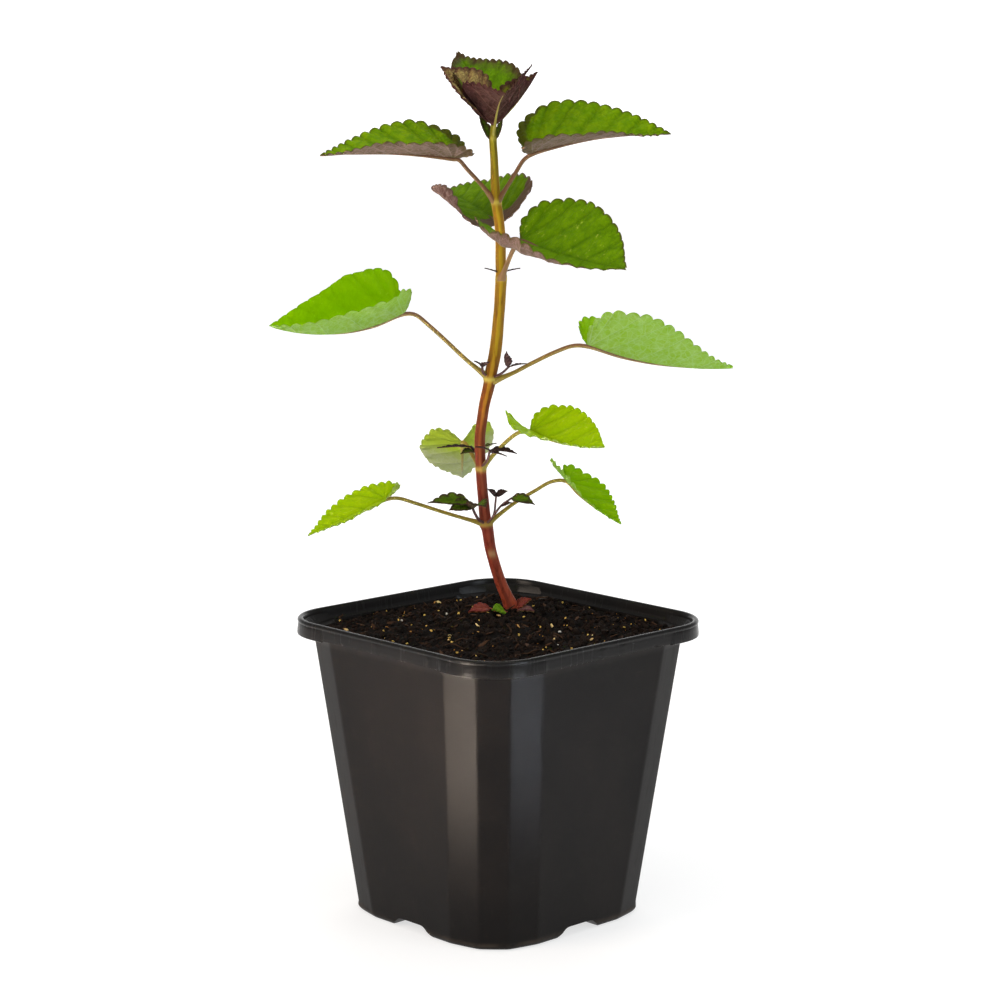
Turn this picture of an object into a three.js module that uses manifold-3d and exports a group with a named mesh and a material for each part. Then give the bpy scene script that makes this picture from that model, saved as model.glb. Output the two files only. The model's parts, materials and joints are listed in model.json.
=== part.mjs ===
// Potted anise hyssop: a young plant with opposite pairs of toothed leaves, in a square black nursery pot.
// Millimetres, Z up. The origin is the middle of the pot's base, on the ground.
// X and Y are square to the pot's sides.
import * as THREE from "three";
import { mergeVertices } from "three/addons/utils/BufferGeometryUtils.js";
import Module from "manifold-3d";

const wasm = await Module();
wasm.setup();

// Pot
const RIM_SIDE = 130;
const POT_HEIGHT = 123.7;
const RIM_CORNER_RADIUS = 23;
const WALL_SIDE_BASE = 96.2;
const WALL_SIDE_TOP = 123;
const WALL_TOP_Z = 113.7;
const WALL_THICKNESS = 1.3;
const FACET_ANGLE = 28.9;
const FACET_CHORDS_BASE = [13.3, 11.5, 13.3];
const FACET_CHORDS_TOP = [14.95, 13.1, 14.95];
const SKIRT_BOTTOM_Z = 117.4;
const RIM_UNDERSIDE_Z = 121.7;
const LEDGE_Z = 118.6;
const FLOOR_Z = 1.6;
const CORNER_STEPS = 9;
const LEAST_ROUNDED_HALF = 60;
const ARCH_BASE_HALF = 12.6;
const ARCH_TOP_HALF = 7.6;
const ARCH_HEIGHT = 4.2;
const ARCH_COVER = 1.4;
const DRAIN_CENTRE_RADIUS = 5;
const DRAIN_ARM_RADIUS = 4;
const DRAIN_ARM_REACH = 26;

// Soil
const SOIL_EDGE_Z = 117.2;
const SOIL_MOUND = 3.6;
const SOIL_LUMPS = 0.9;
const SOIL_RINGS = 12;

// Plant
const GAP = 0.3;
const FINENESS = 0.02;
const PLANT_TURN_DEGREES = -43.7;
const PLANT_TURN = THREE.MathUtils.degToRad(PLANT_TURN_DEGREES);
const BLADE_THICKNESS = 0.7;
const SHOOT_THICKNESS = 0.6;
const FOOT_THICKNESS = 1.3;
const YOUNG_STALK_RADIUS = 0.62;
const LOBE_FRONT = 0.16;
const LOBE_SPAN = 0.28;
const STEM_SIDES = 10;
const STALK_SIDES = 6;

// The stem's way up, in the plant's own frame: x to the right, y to the back, z up, with its radius.
const STEM_PATH = [
  { at: [7.4, 29, 108], radius: 2.6 },
  { at: [6.2, 28.3, 117], radius: 3.1 },
  { at: [5.5, 27.5, 122], radius: 3.1 },
  { at: [3.8, 26, 126.6], radius: 2.5 },
  { at: [1.4, 23.5, 132.6], radius: 2.3 },
  { at: [-2.7, 17.5, 147], radius: 2.2 },
  { at: [-4.4, 14, 157.5], radius: 2.35 },
  { at: [-5, 13, 160.5], radius: 2.7 },
  { at: [-5.4, 12.6, 163.5], radius: 2.3 },
  { at: [-6.4, 11, 173.8], radius: 2.1 },
  { at: [-7.1, 10, 183.9], radius: 2.1 },
  { at: [-7.5, 9, 196.1], radius: 2.1 },
  { at: [-5.9, 8.5, 209], radius: 2.1 },
  { at: [-3.6, 8, 219.7], radius: 2.35 },
  { at: [-3.3, 8, 222], radius: 2.55 },
  { at: [-2.6, 7.8, 225.5], radius: 2.4 },
  { at: [-1.2, 7.5, 232.9], radius: 2.4 },
  { at: [0.2, 7, 248.1], radius: 2.15 },
  { at: [1, 6, 262], radius: 2.2 },
  { at: [0.9, 5.9, 266], radius: 2.05 },
  { at: [0.5, 5.5, 281.8], radius: 1.95 },
  { at: [-1, 5, 293], radius: 1.95 },
  { at: [-1.3, 5, 296], radius: 1.85 },
  { at: [-1.8, 5, 307.9], radius: 1.5 },
  { at: [-2.4, 5, 319], radius: 1.45 },
  { at: [-2.2, 5.3, 323.5], radius: 1.1 },
  { at: [-2, 5.8, 328], radius: 0.7 },
];

// Half of a leaf's outline, from its stalk to its tip: along the midrib, and out from it, both as shares.
// Where the first share is below nought it counts in the depth of the lobe behind the stalk.
const GROWN_OUTLINE = [
  [0, 0.03],
  [-0.5, 0.14],
  [-0.95, 0.36],
  [-0.75, 0.64],
  [0.03, 0.86],
  [0.16, 0.97],
  [0.31, 1],
  [0.47, 0.91],
  [0.62, 0.735],
  [0.75, 0.53],
  [0.86, 0.3],
  [0.94, 0.125],
  [1, 0.012],
];
const YOUNG_OUTLINE = [
  [0, 0.05],
  [0.02, 0.13],
  [0.06, 0.33],
  [0.115, 0.58],
  [0.18, 0.8],
  [0.27, 0.95],
  [0.38, 1],
  [0.51, 0.92],
  [0.645, 0.71],
  [0.765, 0.44],
  [0.865, 0.2],
  [0.94, 0.075],
  [1, 0.012],
];

// Leaves from the lowest pair up. base is where the blade meets its stalk; heading is the way the tip points,
// in degrees from the plant's x; pitch is its first slope, and droop what the slope loses by the tip; fold
// lifts both halves, curl bends the left and the right half up further out, the later the higher late is; roll
// turns the blade about its midrib, by twist more at the tip; wide moves its widest place towards the tip;
// raised lifts the lobe behind the stalk on the left and on the right, in millimetres.
const LEAVES = [
  {
    name: "leaf_1_left", base: [-46.2, 10, 171.8], heading: 197, pitch: -26, droop: -6, length: 36, half: 13,
    roll: -8, twist: 0, fold: 16, curl: [6, 2], lobe: 0.19, wide: 0, raised: [6, 0], teeth: 7, rib: 0.4,
    stalk: [[-5.2, 13, 160], [-15.7, 12.5, 163], [-24, 12, 165.6], [-34.2, 11, 169.1], [-41.2, 10.4, 171.2]],
  },
  {
    name: "leaf_1_right", base: [28.3, 8, 179.8], heading: -49, pitch: -34, droop: -22, length: 35.5,
    half: 13.4, roll: -18, twist: 15, fold: 20, curl: [8, 18], lobe: 0.25, wide: -0.11, teeth: 7, rib: 0.4,
    stalk: [[-5, 13, 159.6], [6.1, 11.5, 168.7], [15.2, 10, 174.6], [22.1, 8.8, 178.6]],
  },
  {
    name: "leaf_2_front", base: [12.6, -4, 202.4], heading: -48, pitch: -14.5, droop: -23, length: 44,
    half: 16.6, roll: 13, twist: 0, fold: 26, curl: [12, 6], lobe: 0.09, wide: 0.02, raised: [0, 13], teeth: 8, rib: 0.4,
    stalk: [[-6.9, 10, 183.6], [-0.5, 4.5, 191.9], [6, 0, 198.7], [9.6, -2.5, 201]],
  },
  {
    name: "leaf_2_back", base: [-15.1, 26, 193.1], heading: 91, pitch: -47, droop: -36, length: 45, half: 18,
    roll: -14, twist: 7, fold: 28, curl: [1, 9], lobe: 0.13, wide: 0.04, teeth: 8, rib: 0.4,
    stalk: [[-7.1, 10, 183.6], [-10.6, 17, 188.2], [-13.2, 22, 191.7]],
  },
  {
    name: "leaf_3_left", base: [-38.6, 1.2, 249.2], heading: 205, pitch: -25, droop: -44, length: 58.5,
    half: 24.5, roll: -13, twist: -16, fold: 65, curl: [-30, 40], lobe: 0.06, wide: 0.03, teeth: 10, rib: 0.45,
    stalk: [[-3.2, 8, 221], [-12.8, 6.3, 228.9], [-20.5, 4.9, 236.3], [-27.7, 3.6, 243], [-33.7, 2.6, 247.8]],
  },
  {
    name: "leaf_3_right", base: [36.4, 9.6, 235.5], heading: 10, pitch: -22, droop: -24, length: 62.5, half: 27,
    roll: -1, twist: 3, fold: 41, curl: [-30, 10], lobe: 0.06, wide: -0.03, teeth: 10, rib: 0.45,
    stalk: [[-3.2, 8, 219.8], [6, 8.4, 223.5], [12.9, 8.7, 227.1], [23.1, 9.2, 232], [30.4, 9.6, 234.5]],
  },
  {
    name: "leaf_4_front", base: [8.2, -10.2, 279.6], heading: -52, pitch: -11, droop: -10, length: 66,
    half: 24.5, roll: 22, twist: 2, fold: 16, curl: [26, 58], late: [1, 3], lobe: 0.12, wide: 0.05,
    raised: [0, 17], teeth: 10, rib: 0.45, stalk: [[0.9, 6, 261.5], [3.2, -1.5, 268.2], [6, -7, 275.2]],
  },
  {
    name: "leaf_4_back", base: [-0.7, 24, 283.7], heading: 114, pitch: 16, droop: 14, length: 63.5, half: 23.2,
    roll: -21, twist: 16, fold: 21, curl: [85, 6], late: [3.5, 1], lobe: 0.1, wide: -0.1, raised: [0, 7],
    teeth: 10, rib: 0.45, stalk: [[0.9, 6, 261.5], [0.1, 14, 268.2], [-0.3, 20, 276.7]],
  },
  {
    name: "leaf_5_left", base: [-18.1, 4, 311.4], heading: 194, pitch: 7, droop: 12, length: 54.5, half: 20.5,
    roll: -7, twist: 1, fold: 24, curl: [-3, 14], lobe: 0.11, wide: -0.05, teeth: 10, rib: 0.45,
    stalk: [[-1.3, 5, 293.2], [-7.6, 4.5, 300.7], [-12.4, 4.2, 305.9], [-16.2, 4, 310]],
  },
  {
    name: "leaf_5_right", base: [12.8, 6, 313.2], heading: 1, pitch: 17, droop: 19, length: 57, half: 22,
    roll: 14, twist: 15, fold: 31, curl: [0, 0], lobe: 0.06, wide: -0.09, teeth: 10, rib: 0.45,
    stalk: [[-1.1, 5, 292.6], [3.7, 5.2, 299.9], [6.9, 5.5, 305.1], [10.1, 5.8, 310]],
  },
  {
    name: "leaf_6_front", base: [-1.9, 3, 324.2], heading: -81, pitch: 46, droop: 42, length: 32.5, half: 16.5,
    roll: 4, twist: 2, fold: 36, curl: [12, 8], lobe: 0, wide: 0.02, teeth: 7, rib: 0.35,
    stalk: [[-2.4, 5, 317.8], [-2.1, 3.6, 321]],
  },
  {
    name: "leaf_6_back", base: [-1.8, 8.6, 324.9], heading: 120, pitch: 46, droop: 8, length: 41.5, half: 18.5,
    roll: -3, twist: 6, fold: 31, curl: [8, 23], lobe: 0, wide: 0.01, teeth: 8, rib: 0.4,
    stalk: [[-2.4, 5, 317.8], [-2.2, 7.2, 321.5]],
  },
  {
    name: "leaf_7_left", base: [-3.8, 6, 326.2], heading: 184, pitch: 42, droop: -11, length: 28.5, half: 12.5,
    roll: -36, twist: -4, fold: 30, curl: [6, 10], lobe: 0, wide: 0.1, teeth: 7, rib: 0.3,
    stalk: [[-2.1, 5.5, 324.8]],
  },
  {
    name: "leaf_7_right", base: [-0.4, 6, 326.2], heading: 5, pitch: 39, droop: -24, length: 24.5, half: 10,
    roll: 13, twist: 1, fold: 39, curl: [12, 6], lobe: 0, wide: 0.07, teeth: 6, rib: 0.3,
    stalk: [[-2.1, 5.5, 324.8]],
  },
  {
    name: "leaf_8", base: [-0.7, 7.3, 330.6], heading: 14, pitch: 49, droop: -4, length: 22.5, half: 2,
    roll: 0, twist: 0, fold: 44, curl: [4, 4], lobe: 0, wide: 0, teeth: 4, rib: 0.3,
    stalk: [[-1.9, 5.9, 327.2]],
  },
];

// Side shoots in the axils, and the new growth at the stem's foot. Each is one stalk system with its small
// leaves: a leaf runs from its base to its tip with a half width, a fold, a roll, and a droop.
const SHOOTS = [
  {
    name: "shoot_1_left",
    stalks: [[[-5, 12, 160.4], [-7.8, 9, 162.4], [-9.8, 8, 165.9], [-11.3, 7.8, 170]]],
    radius: 0.6,
    leaves: [
      { base: [-11.2, 7.8, 169.6], tip: [-29.1, 3, 170.6], half: 3.2, fold: 25, roll: -6, droop: 26 },
      { base: [-10.6, 7.8, 167.6], tip: [-4.6, -2.4, 169.6], half: 3.6, fold: 34, roll: 0, droop: 20 },
      { base: [-10.9, 7.9, 168.6], tip: [-20.3, 2.5, 167.6], half: 3.4, fold: 30, roll: -14, droop: 25 },
    ],
  },
  {
    name: "shoot_1_right",
    stalks: [
      [[-5, 11, 160.4], [-1.9, 8.4, 164.4], [-1.1, 7.4, 170], [-0.8, 7, 173]],
      [[-1.9, 8.4, 164.4], [1.6, 6.6, 169.2], [5.6, 5.2, 172.3]],
    ],
    radius: 0.45,
    leaves: [
      { base: [-0.8, 7, 172.8], tip: [-4.3, 5.8, 176], half: 1.4, fold: 20, roll: -20, droop: 15 },
      { base: [-0.8, 7, 172.9], tip: [4, 5.9, 175.2], half: 1.5, fold: 20, roll: 15, droop: 20 },
      { base: [5.3, 5.3, 172.2], tip: [15.4, 2, 170], half: 2.4, fold: 15, roll: -10, droop: 35 },
      { base: [1.2, 6.8, 168.8], tip: [5.6, 4.4, 170.6], half: 1.2, fold: 20, roll: 0, droop: 10 },
    ],
  },
  {
    name: "shoot_2_back",
    stalks: [[[-7.1, 10.4, 184.2], [-8.7, 13.6, 186], [-9.3, 14.4, 189.8], [-11.4, 14, 192.4]]],
    radius: 0.55,
    leaves: [
      { base: [-11, 14, 192.2], tip: [-25.1, 10, 192.4], half: 2.1, fold: 14, roll: 0, droop: 10 },
      { base: [-9.2, 14.3, 189.8], tip: [-15.6, 9.6, 189.9], half: 2.6, fold: 26, roll: -10, droop: 30 },
      { base: [-9.4, 14.3, 190.4], tip: [-0.6, 16.6, 193.4], half: 2, fold: 20, roll: 0, droop: 20 },
    ],
  },
  {
    name: "shoot_2_front",
    stalks: [[[-7, 9, 184.4], [-4.4, 4.6, 188.2], [-3.4, 2.6, 192.6]]],
    radius: 0.5,
    leaves: [
      { base: [-3.6, 2.9, 192.2], tip: [8, 0, 191.4], half: 1.9, fold: 18, roll: 0, droop: 40 },
      { base: [-3.4, 2.7, 192.4], tip: [-9.4, -0.6, 194.4], half: 1.5, fold: 20, roll: 0, droop: 20 },
      { base: [-3.6, 3, 191.6], tip: [3.6, 1.4, 190.2], half: 1.2, fold: 18, roll: 0, droop: 20 },
    ],
  },
  {
    name: "shoot_3_left",
    stalks: [[[-4, 7.4, 221.8], [-6.2, 5.6, 224], [-6.6, 5, 227]]],
    radius: 0.55,
    leaves: [
      { base: [-6.5, 5.1, 226.6], tip: [-9.9, 2.6, 229.1], half: 1.6, fold: 20, roll: -10, droop: 20 },
      { base: [-6.6, 5.1, 226.4], tip: [-3.6, 0.6, 229], half: 2, fold: 20, roll: 0, droop: 25 },
    ],
  },
  {
    name: "shoot_3_right",
    stalks: [[[-2.6, 7, 221.6], [1.4, 5.2, 223.8], [4.5, 4, 226.8]]],
    radius: 0.5,
    leaves: [
      { base: [4.3, 4.1, 226.5], tip: [3.4, 4.4, 233], half: 2.5, fold: 20, roll: 60, droop: -35 },
      { base: [4.2, 4.1, 226.4], tip: [11.5, 3, 228], half: 1.5, fold: 25, roll: 0, droop: 20 },
    ],
  },
  {
    name: "shoot_4_left",
    stalks: [],
    radius: 0.5,
    leaves: [{ base: [0.2, 5.4, 264.6], tip: [-5.7, 4, 266.6], half: 0.9, fold: 20, roll: 0, droop: 10 }],
  },
  {
    name: "shoot_4_right",
    stalks: [],
    radius: 0.5,
    leaves: [{ base: [1.8, 5.4, 264.8], tip: [8.8, 4, 266.6], half: 0.9, fold: 20, roll: 0, droop: 10 }],
  },
  {
    name: "shoot_6_left",
    stalks: [],
    radius: 0.5,
    leaves: [{ base: [-2.8, 5, 317.6], tip: [-8.2, 4.2, 329.4], half: 2, fold: 30, roll: -60, droop: -10 }],
  },
  {
    name: "shoot_6_right",
    stalks: [],
    radius: 0.5,
    leaves: [{ base: [-1.8, 5, 317.8], tip: [1.6, 4.6, 327.2], half: 1.5, fold: 30, roll: 60, droop: -10 }],
  },
];
const FOOT_GROWTH = [
  {
    name: "foot_leaf_red",
    stalks: [[[5, 26, 119.8], [0.6, 23, 120.6], [-3.6, 21.4, 122.4]]],
    radius: 0.8,
    leaves: [{ base: [-3, 21.6, 122], tip: [-12.6, 17, 121.9], half: 3.1, fold: 16, roll: -25, droop: 40 }],
  },
  {
    name: "foot_leaf_green",
    stalks: [[[5, 25.4, 119.6], [2.4, 21.4, 121.2]]],
    radius: 0.8,
    leaves: [{ base: [2.8, 21.8, 121], tip: [-2.4, 15.6, 123.6], half: 2.9, fold: 14, roll: -35, droop: 30 }],
  },
  {
    name: "foot_leaf_pink",
    stalks: [[[6, 27, 120], [8.6, 26, 122.2]]],
    radius: 0.9,
    leaves: [{ base: [8, 26.2, 121.8], tip: [14, 25.4, 126], half: 3, fold: 16, roll: 30, droop: 30 }],
  },
  {
    name: "foot_leaf_purple",
    stalks: [[[6.4, 26.4, 119.8], [8.4, 23.4, 121.2]]],
    radius: 0.9,
    leaves: [{ base: [8, 23.8, 121], tip: [15.4, 19.4, 121.9], half: 2.8, fold: 14, roll: 10, droop: 40 }],
  },
];

// Colours and roughness in plain light.
const FINISHES = {
  pot: { color: 0x24221f, roughness: 0.42 },
  soil: { color: 0x241a12, roughness: 0.95 },
  main_stem: { color: 0x7a5a22, roughness: 0.5 },
  leaf: { color: 0x5f8f1c, roughness: 0.55 },
  young_leaf: { color: 0x543038, roughness: 0.6 },
  shoot: { color: 0x3a2330, roughness: 0.6 },
  foot: { color: 0x8c4048, roughness: 0.5 },
};

const radians = THREE.MathUtils.degToRad;

// A three.js geometry as a solid.
function solidFrom(geometry) {
  geometry.deleteAttribute("normal");
  geometry.deleteAttribute("uv");
  const merged = mergeVertices(geometry, 1e-4);
  return new wasm.Manifold(
    new wasm.Mesh({
      numProp: 3,
      vertProperties: merged.attributes.position.array,
      triVerts: new Uint32Array(merged.index.array),
    }),
  );
}

// One closed surface from corner points and triangles, as a solid.
function solid(points, faces) {
  const geometry = new THREE.BufferGeometry();
  geometry.setAttribute("position", new THREE.Float32BufferAttribute(points.flat(), 3));
  geometry.setIndex(faces.flat());
  return solidFrom(geometry);
}

// The largest of the bodies that a cut may leave.
function largest(shape) {
  let best = null;
  for (const body of shape.decompose()) {
    if (!best || body.volume() > best.volume()) best = body;
  }
  return best;
}

// Closed rings with equal point counts, from the first cap to the last. Each ring runs round the same way.
function loft(rings) {
  const count = rings[0].length;
  const points = rings.flat();
  const faces = [];
  for (let k = 0; k + 1 < rings.length; k++) {
    for (let i = 0; i < count; i++) {
      const a = k * count + i;
      const b = k * count + ((i + 1) % count);
      faces.push([a, b, b + count], [a, b + count, a + count]);
    }
  }
  for (const [ring, turned] of [[0, true], [rings.length - 1, false]]) {
    const middle = [0, 0, 0];
    for (const p of rings[ring]) {
      middle[0] += p[0] / count;
      middle[1] += p[1] / count;
      middle[2] += p[2] / count;
    }
    const centre = points.push(middle) - 1;
    for (let i = 0; i < count; i++) {
      const a = ring * count + i;
      const b = ring * count + ((i + 1) % count);
      faces.push(turned ? [centre, b, a] : [centre, a, b]);
    }
  }
  return solid(points, faces);
}

// Half of the pot wall's outer side at a height.
function wallHalf(z) {
  return (WALL_SIDE_BASE + ((WALL_SIDE_TOP - WALL_SIDE_BASE) * z) / WALL_TOP_Z) / 2;
}

// One corner of the faceted wall section, as points from the face square to X to the face square to Y.
function facetedCorner(half, z) {
  const share = Math.min(z / WALL_TOP_Z, 1);
  const chords = FACET_CHORDS_BASE.map((c, i) => c + (FACET_CHORDS_TOP[i] - c) * share);
  const angles = [-FACET_ANGLE, 0, FACET_ANGLE].map((a) => radians(135 + a));
  const rise = chords.reduce((sum, c, i) => sum + c * Math.sin(angles[i]), 0);
  const points = [[half, half - rise]];
  chords.forEach((chord, i) => {
    const [x, y] = points[points.length - 1];
    for (const part of [1 / 3, 2 / 3, 1]) {
      points.push([x + chord * part * Math.cos(angles[i]), y + chord * part * Math.sin(angles[i])]);
    }
  });
  return points;
}

// One rounded corner with as many points.
function roundedCorner(half, radius) {
  const points = [];
  for (let i = 0; i <= CORNER_STEPS; i++) {
    const angle = (Math.PI / 2) * (i / CORNER_STEPS);
    points.push([half - radius + radius * Math.cos(angle), half - radius + radius * Math.sin(angle)]);
  }
  return points;
}

// A ring round the pot: half its side, its height, how rounded its corners are from 0 to 1, and how far it is
// set in from the outer wall, so that its facets stay parallel to the wall's.
function potRing(half, z, round = 0, inset = 0) {
  const outer = facetedCorner(half + inset, z);
  const faceted = outer.map(([x, y]) => [x - inset, y - inset]);
  const rounded = roundedCorner(half, RIM_CORNER_RADIUS - RIM_SIDE / 2 + Math.max(half, LEAST_ROUNDED_HALF));
  const corner = faceted.map(([x, y], i) => [
    x + (rounded[i][0] - x) * round,
    y + (rounded[i][1] - y) * round,
  ]);
  const ring = [];
  for (let quarter = 0; quarter < 4; quarter++) {
    const c = Math.round(Math.cos((quarter * Math.PI) / 2));
    const s = Math.round(Math.sin((quarter * Math.PI) / 2));
    for (const [x, y] of corner) ring.push([c * x - s * y, s * x + c * y, z]);
  }
  return ring;
}

// The channel of the arches under the pot, along X, grown by a margin.
function archPrism(grow) {
  const reach = 80;
  const slope = (ARCH_BASE_HALF - ARCH_TOP_HALF) / ARCH_HEIGHT;
  const foot = ARCH_BASE_HALF + slope + grow * 1.4;
  const shape = new THREE.Shape([
    new THREE.Vector2(-foot, -1),
    new THREE.Vector2(foot, -1),
    new THREE.Vector2(ARCH_TOP_HALF + grow * 0.7, ARCH_HEIGHT + grow),
    new THREE.Vector2(-ARCH_TOP_HALF - grow * 0.7, ARCH_HEIGHT + grow),
  ]);
  const bar = new THREE.ExtrudeGeometry(shape, { depth: 2 * reach, bevelEnabled: false });
  bar.translate(0, 0, -reach);
  bar.rotateX(Math.PI / 2);
  bar.rotateZ(Math.PI / 2);
  return bar;
}

function archCross(grow) {
  const along = archPrism(grow);
  const across = along.clone().rotateZ(Math.PI / 2);
  return solidFrom(along).add(solidFrom(across));
}

function drainHole(x, y, radius) {
  const hole = new THREE.CylinderGeometry(radius, radius, 12, 20);
  hole.rotateX(Math.PI / 2);
  hole.translate(x, y, 4);
  return solidFrom(hole);
}

// The inside of the pot's wall, set in by a margin, up to a height.
function innerRings(grow, topZ) {
  const inset = WALL_THICKNESS + grow;
  return [
    potRing(wallHalf(FLOOR_Z) - inset - 1.4, FLOOR_Z + grow, 0, inset + 1.4),
    potRing(wallHalf(4) - inset - 0.3, 3.2 + grow, 0, inset + 0.3),
    potRing(wallHalf(6) - inset, 6 + grow, 0, inset),
    potRing(wallHalf(topZ) - inset, topZ, 0, inset),
  ];
}

function makePot() {
  const rimHalf = RIM_SIDE / 2;
  const outside = [
    potRing(wallHalf(0) - 2.6, 0, 0, 2.6),
    potRing(wallHalf(0) - 1.2, 0.4, 0, 1.2),
    potRing(wallHalf(0) - 0.3, 1.3, 0, 0.3),
    potRing(wallHalf(3), 3),
  ];
  const upper = [
    potRing(wallHalf(SKIRT_BOTTOM_Z), SKIRT_BOTTOM_Z),
    potRing(62.3, RIM_UNDERSIDE_Z, 1),
    potRing(63.4, RIM_UNDERSIDE_Z, 1),
    potRing(63.6, SKIRT_BOTTOM_Z + 0.2, 1),
    potRing(64.9, SKIRT_BOTTOM_Z, 1),
    potRing(rimHalf, SKIRT_BOTTOM_Z + 0.8, 1),
    potRing(rimHalf, POT_HEIGHT - 1.2, 1),
    potRing(64.6, POT_HEIGHT - 0.3, 1),
    potRing(64, POT_HEIGHT, 1),
    potRing(63, POT_HEIGHT, 1),
    potRing(62.5, POT_HEIGHT - 0.5, 1),
    potRing(61.7, LEDGE_Z + 0.6, 1),
    potRing(60.7, LEDGE_Z, 0.6),
  ];
  const inside = innerRings(0, SKIRT_BOTTOM_Z).reverse();
  const shell = loft([...outside, ...upper, ...inside]);
  const base = loft([...outside, potRing(wallHalf(10) - 0.2, 10, 0, 0.2)]);
  const cover = archCross(ARCH_COVER).intersect(base);
  let pot = shell.add(cover).subtract(archCross(0));
  const holes = [[0, 0, DRAIN_CENTRE_RADIUS]];
  for (const [x, y] of [[1, 0], [-1, 0], [0, 1], [0, -1]]) {
    holes.push([x * DRAIN_ARM_REACH, y * DRAIN_ARM_REACH, DRAIN_ARM_RADIUS]);
  }
  for (const [x, y, radius] of holes) pot = pot.subtract(drainHole(x, y, radius));
  return pot;
}

// Gentle lumps of compost.
function lumps(x, y) {
  return (
    Math.sin(0.31 * x + 0.17 * y) * Math.cos(0.23 * y - 0.11 * x) +
    0.6 * Math.sin(0.71 * x - 0.43 * y + 1.3) * Math.cos(0.57 * y + 0.39 * x)
  );
}

// A point of the plant's frame in the pot's frame.
function turned([x, y, z]) {
  const c = Math.cos(PLANT_TURN);
  const s = Math.sin(PLANT_TURN);
  return [c * x - s * y, s * x + c * y, z];
}

// The compost in the pot, open where the stem and the growth at its foot stand in it.
function makeSoil(standing) {
  const rings = innerRings(GAP, SOIL_EDGE_Z);
  const edge = rings[rings.length - 1];
  const [cx, cy] = turned([5.5, 27.5, 0]);
  for (let k = 1; k <= SOIL_RINGS; k++) {
    const share = 1 - k / (SOIL_RINGS + 0.6);
    rings.push(
      edge.map(([x, y]) => {
        const px = cx + (x - cx) * share;
        const py = cy + (y - cy) * share;
        const rise = SOIL_MOUND * Math.pow(1 - share, 1.4);
        return [px, py, SOIL_EDGE_Z + rise + SOIL_LUMPS * lumps(px, py) * Math.min(1, (1 - share) * 5)];
      }),
    );
  }
  let soil = loft(rings).subtract(archCross(ARCH_COVER + GAP));
  for (const space of standing) soil = soil.subtract(space.rotate([0, 0, PLANT_TURN_DEGREES]));
  return largest(soil);
}

// A rod of changing radius along a smooth curve; square rounds its section towards a square.
function rod(path, radii, sides, rings, square = 0) {
  const curve = new THREE.CatmullRomCurve3(path.map((p) => new THREE.Vector3(...p)), false, "centripetal");
  const frames = curve.computeFrenetFrames(rings, false);
  const out = [];
  for (let k = 0; k <= rings; k++) {
    const share = k / rings;
    const at = curve.getPointAt(share);
    const place = curve.getUtoTmapping(share) * (radii.length - 1);
    const low = Math.min(Math.floor(place), radii.length - 2);
    const radius = radii[low] + (radii[low + 1] - radii[low]) * (place - low);
    const ring = [];
    for (let i = 0; i < sides; i++) {
      const angle = (2 * Math.PI * i) / sides;
      const reach = radius * (1 + square * Math.cos(4 * angle));
      const p = at
        .clone()
        .addScaledVector(frames.normals[k], reach * Math.cos(angle))
        .addScaledVector(frames.binormals[k], reach * Math.sin(angle));
      ring.push([p.x, p.y, p.z]);
    }
    out.push(ring);
  }
  const made = loft(out);
  return made.volume() < 0 ? loft(out.map((ring) => ring.slice().reverse())) : made;
}

// The stem, or what it takes up with its gap all round and past both ends.
function makeStem(grow = 0) {
  const path = STEM_PATH.map((p) => p.at.slice());
  path[0][2] -= grow;
  path[path.length - 1][2] += 2 * grow;
  return rod(
    path,
    STEM_PATH.map((p) => p.radius + grow),
    STEM_SIDES,
    42,
    0.045,
  );
}

// A point of a smooth curve through the outline's points, by share of its point count.
function outlinePoint(outline, share) {
  const place = share * (outline.length - 1);
  const i = Math.min(Math.floor(place), outline.length - 2);
  const u = place - i;
  const at = (k) => {
    if (k < 0) return [2 * outline[0][0] - outline[1][0], 2 * outline[0][1] - outline[1][1]];
    if (k >= outline.length) {
      const n = outline.length;
      return [2 * outline[n - 1][0] - outline[n - 2][0], 2 * outline[n - 1][1] - outline[n - 2][1]];
    }
    return outline[k];
  };
  const [a, b, c, d] = [at(i - 1), at(i), at(i + 1), at(i + 2)];
  return [0, 1].map(
    (k) =>
      0.5 *
      (2 * b[k] +
        (c[k] - a[k]) * u +
        (2 * a[k] - 5 * b[k] + 4 * c[k] - d[k]) * u * u +
        (3 * b[k] - a[k] - 3 * c[k] + d[k]) * u * u * u),
  );
}

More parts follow.
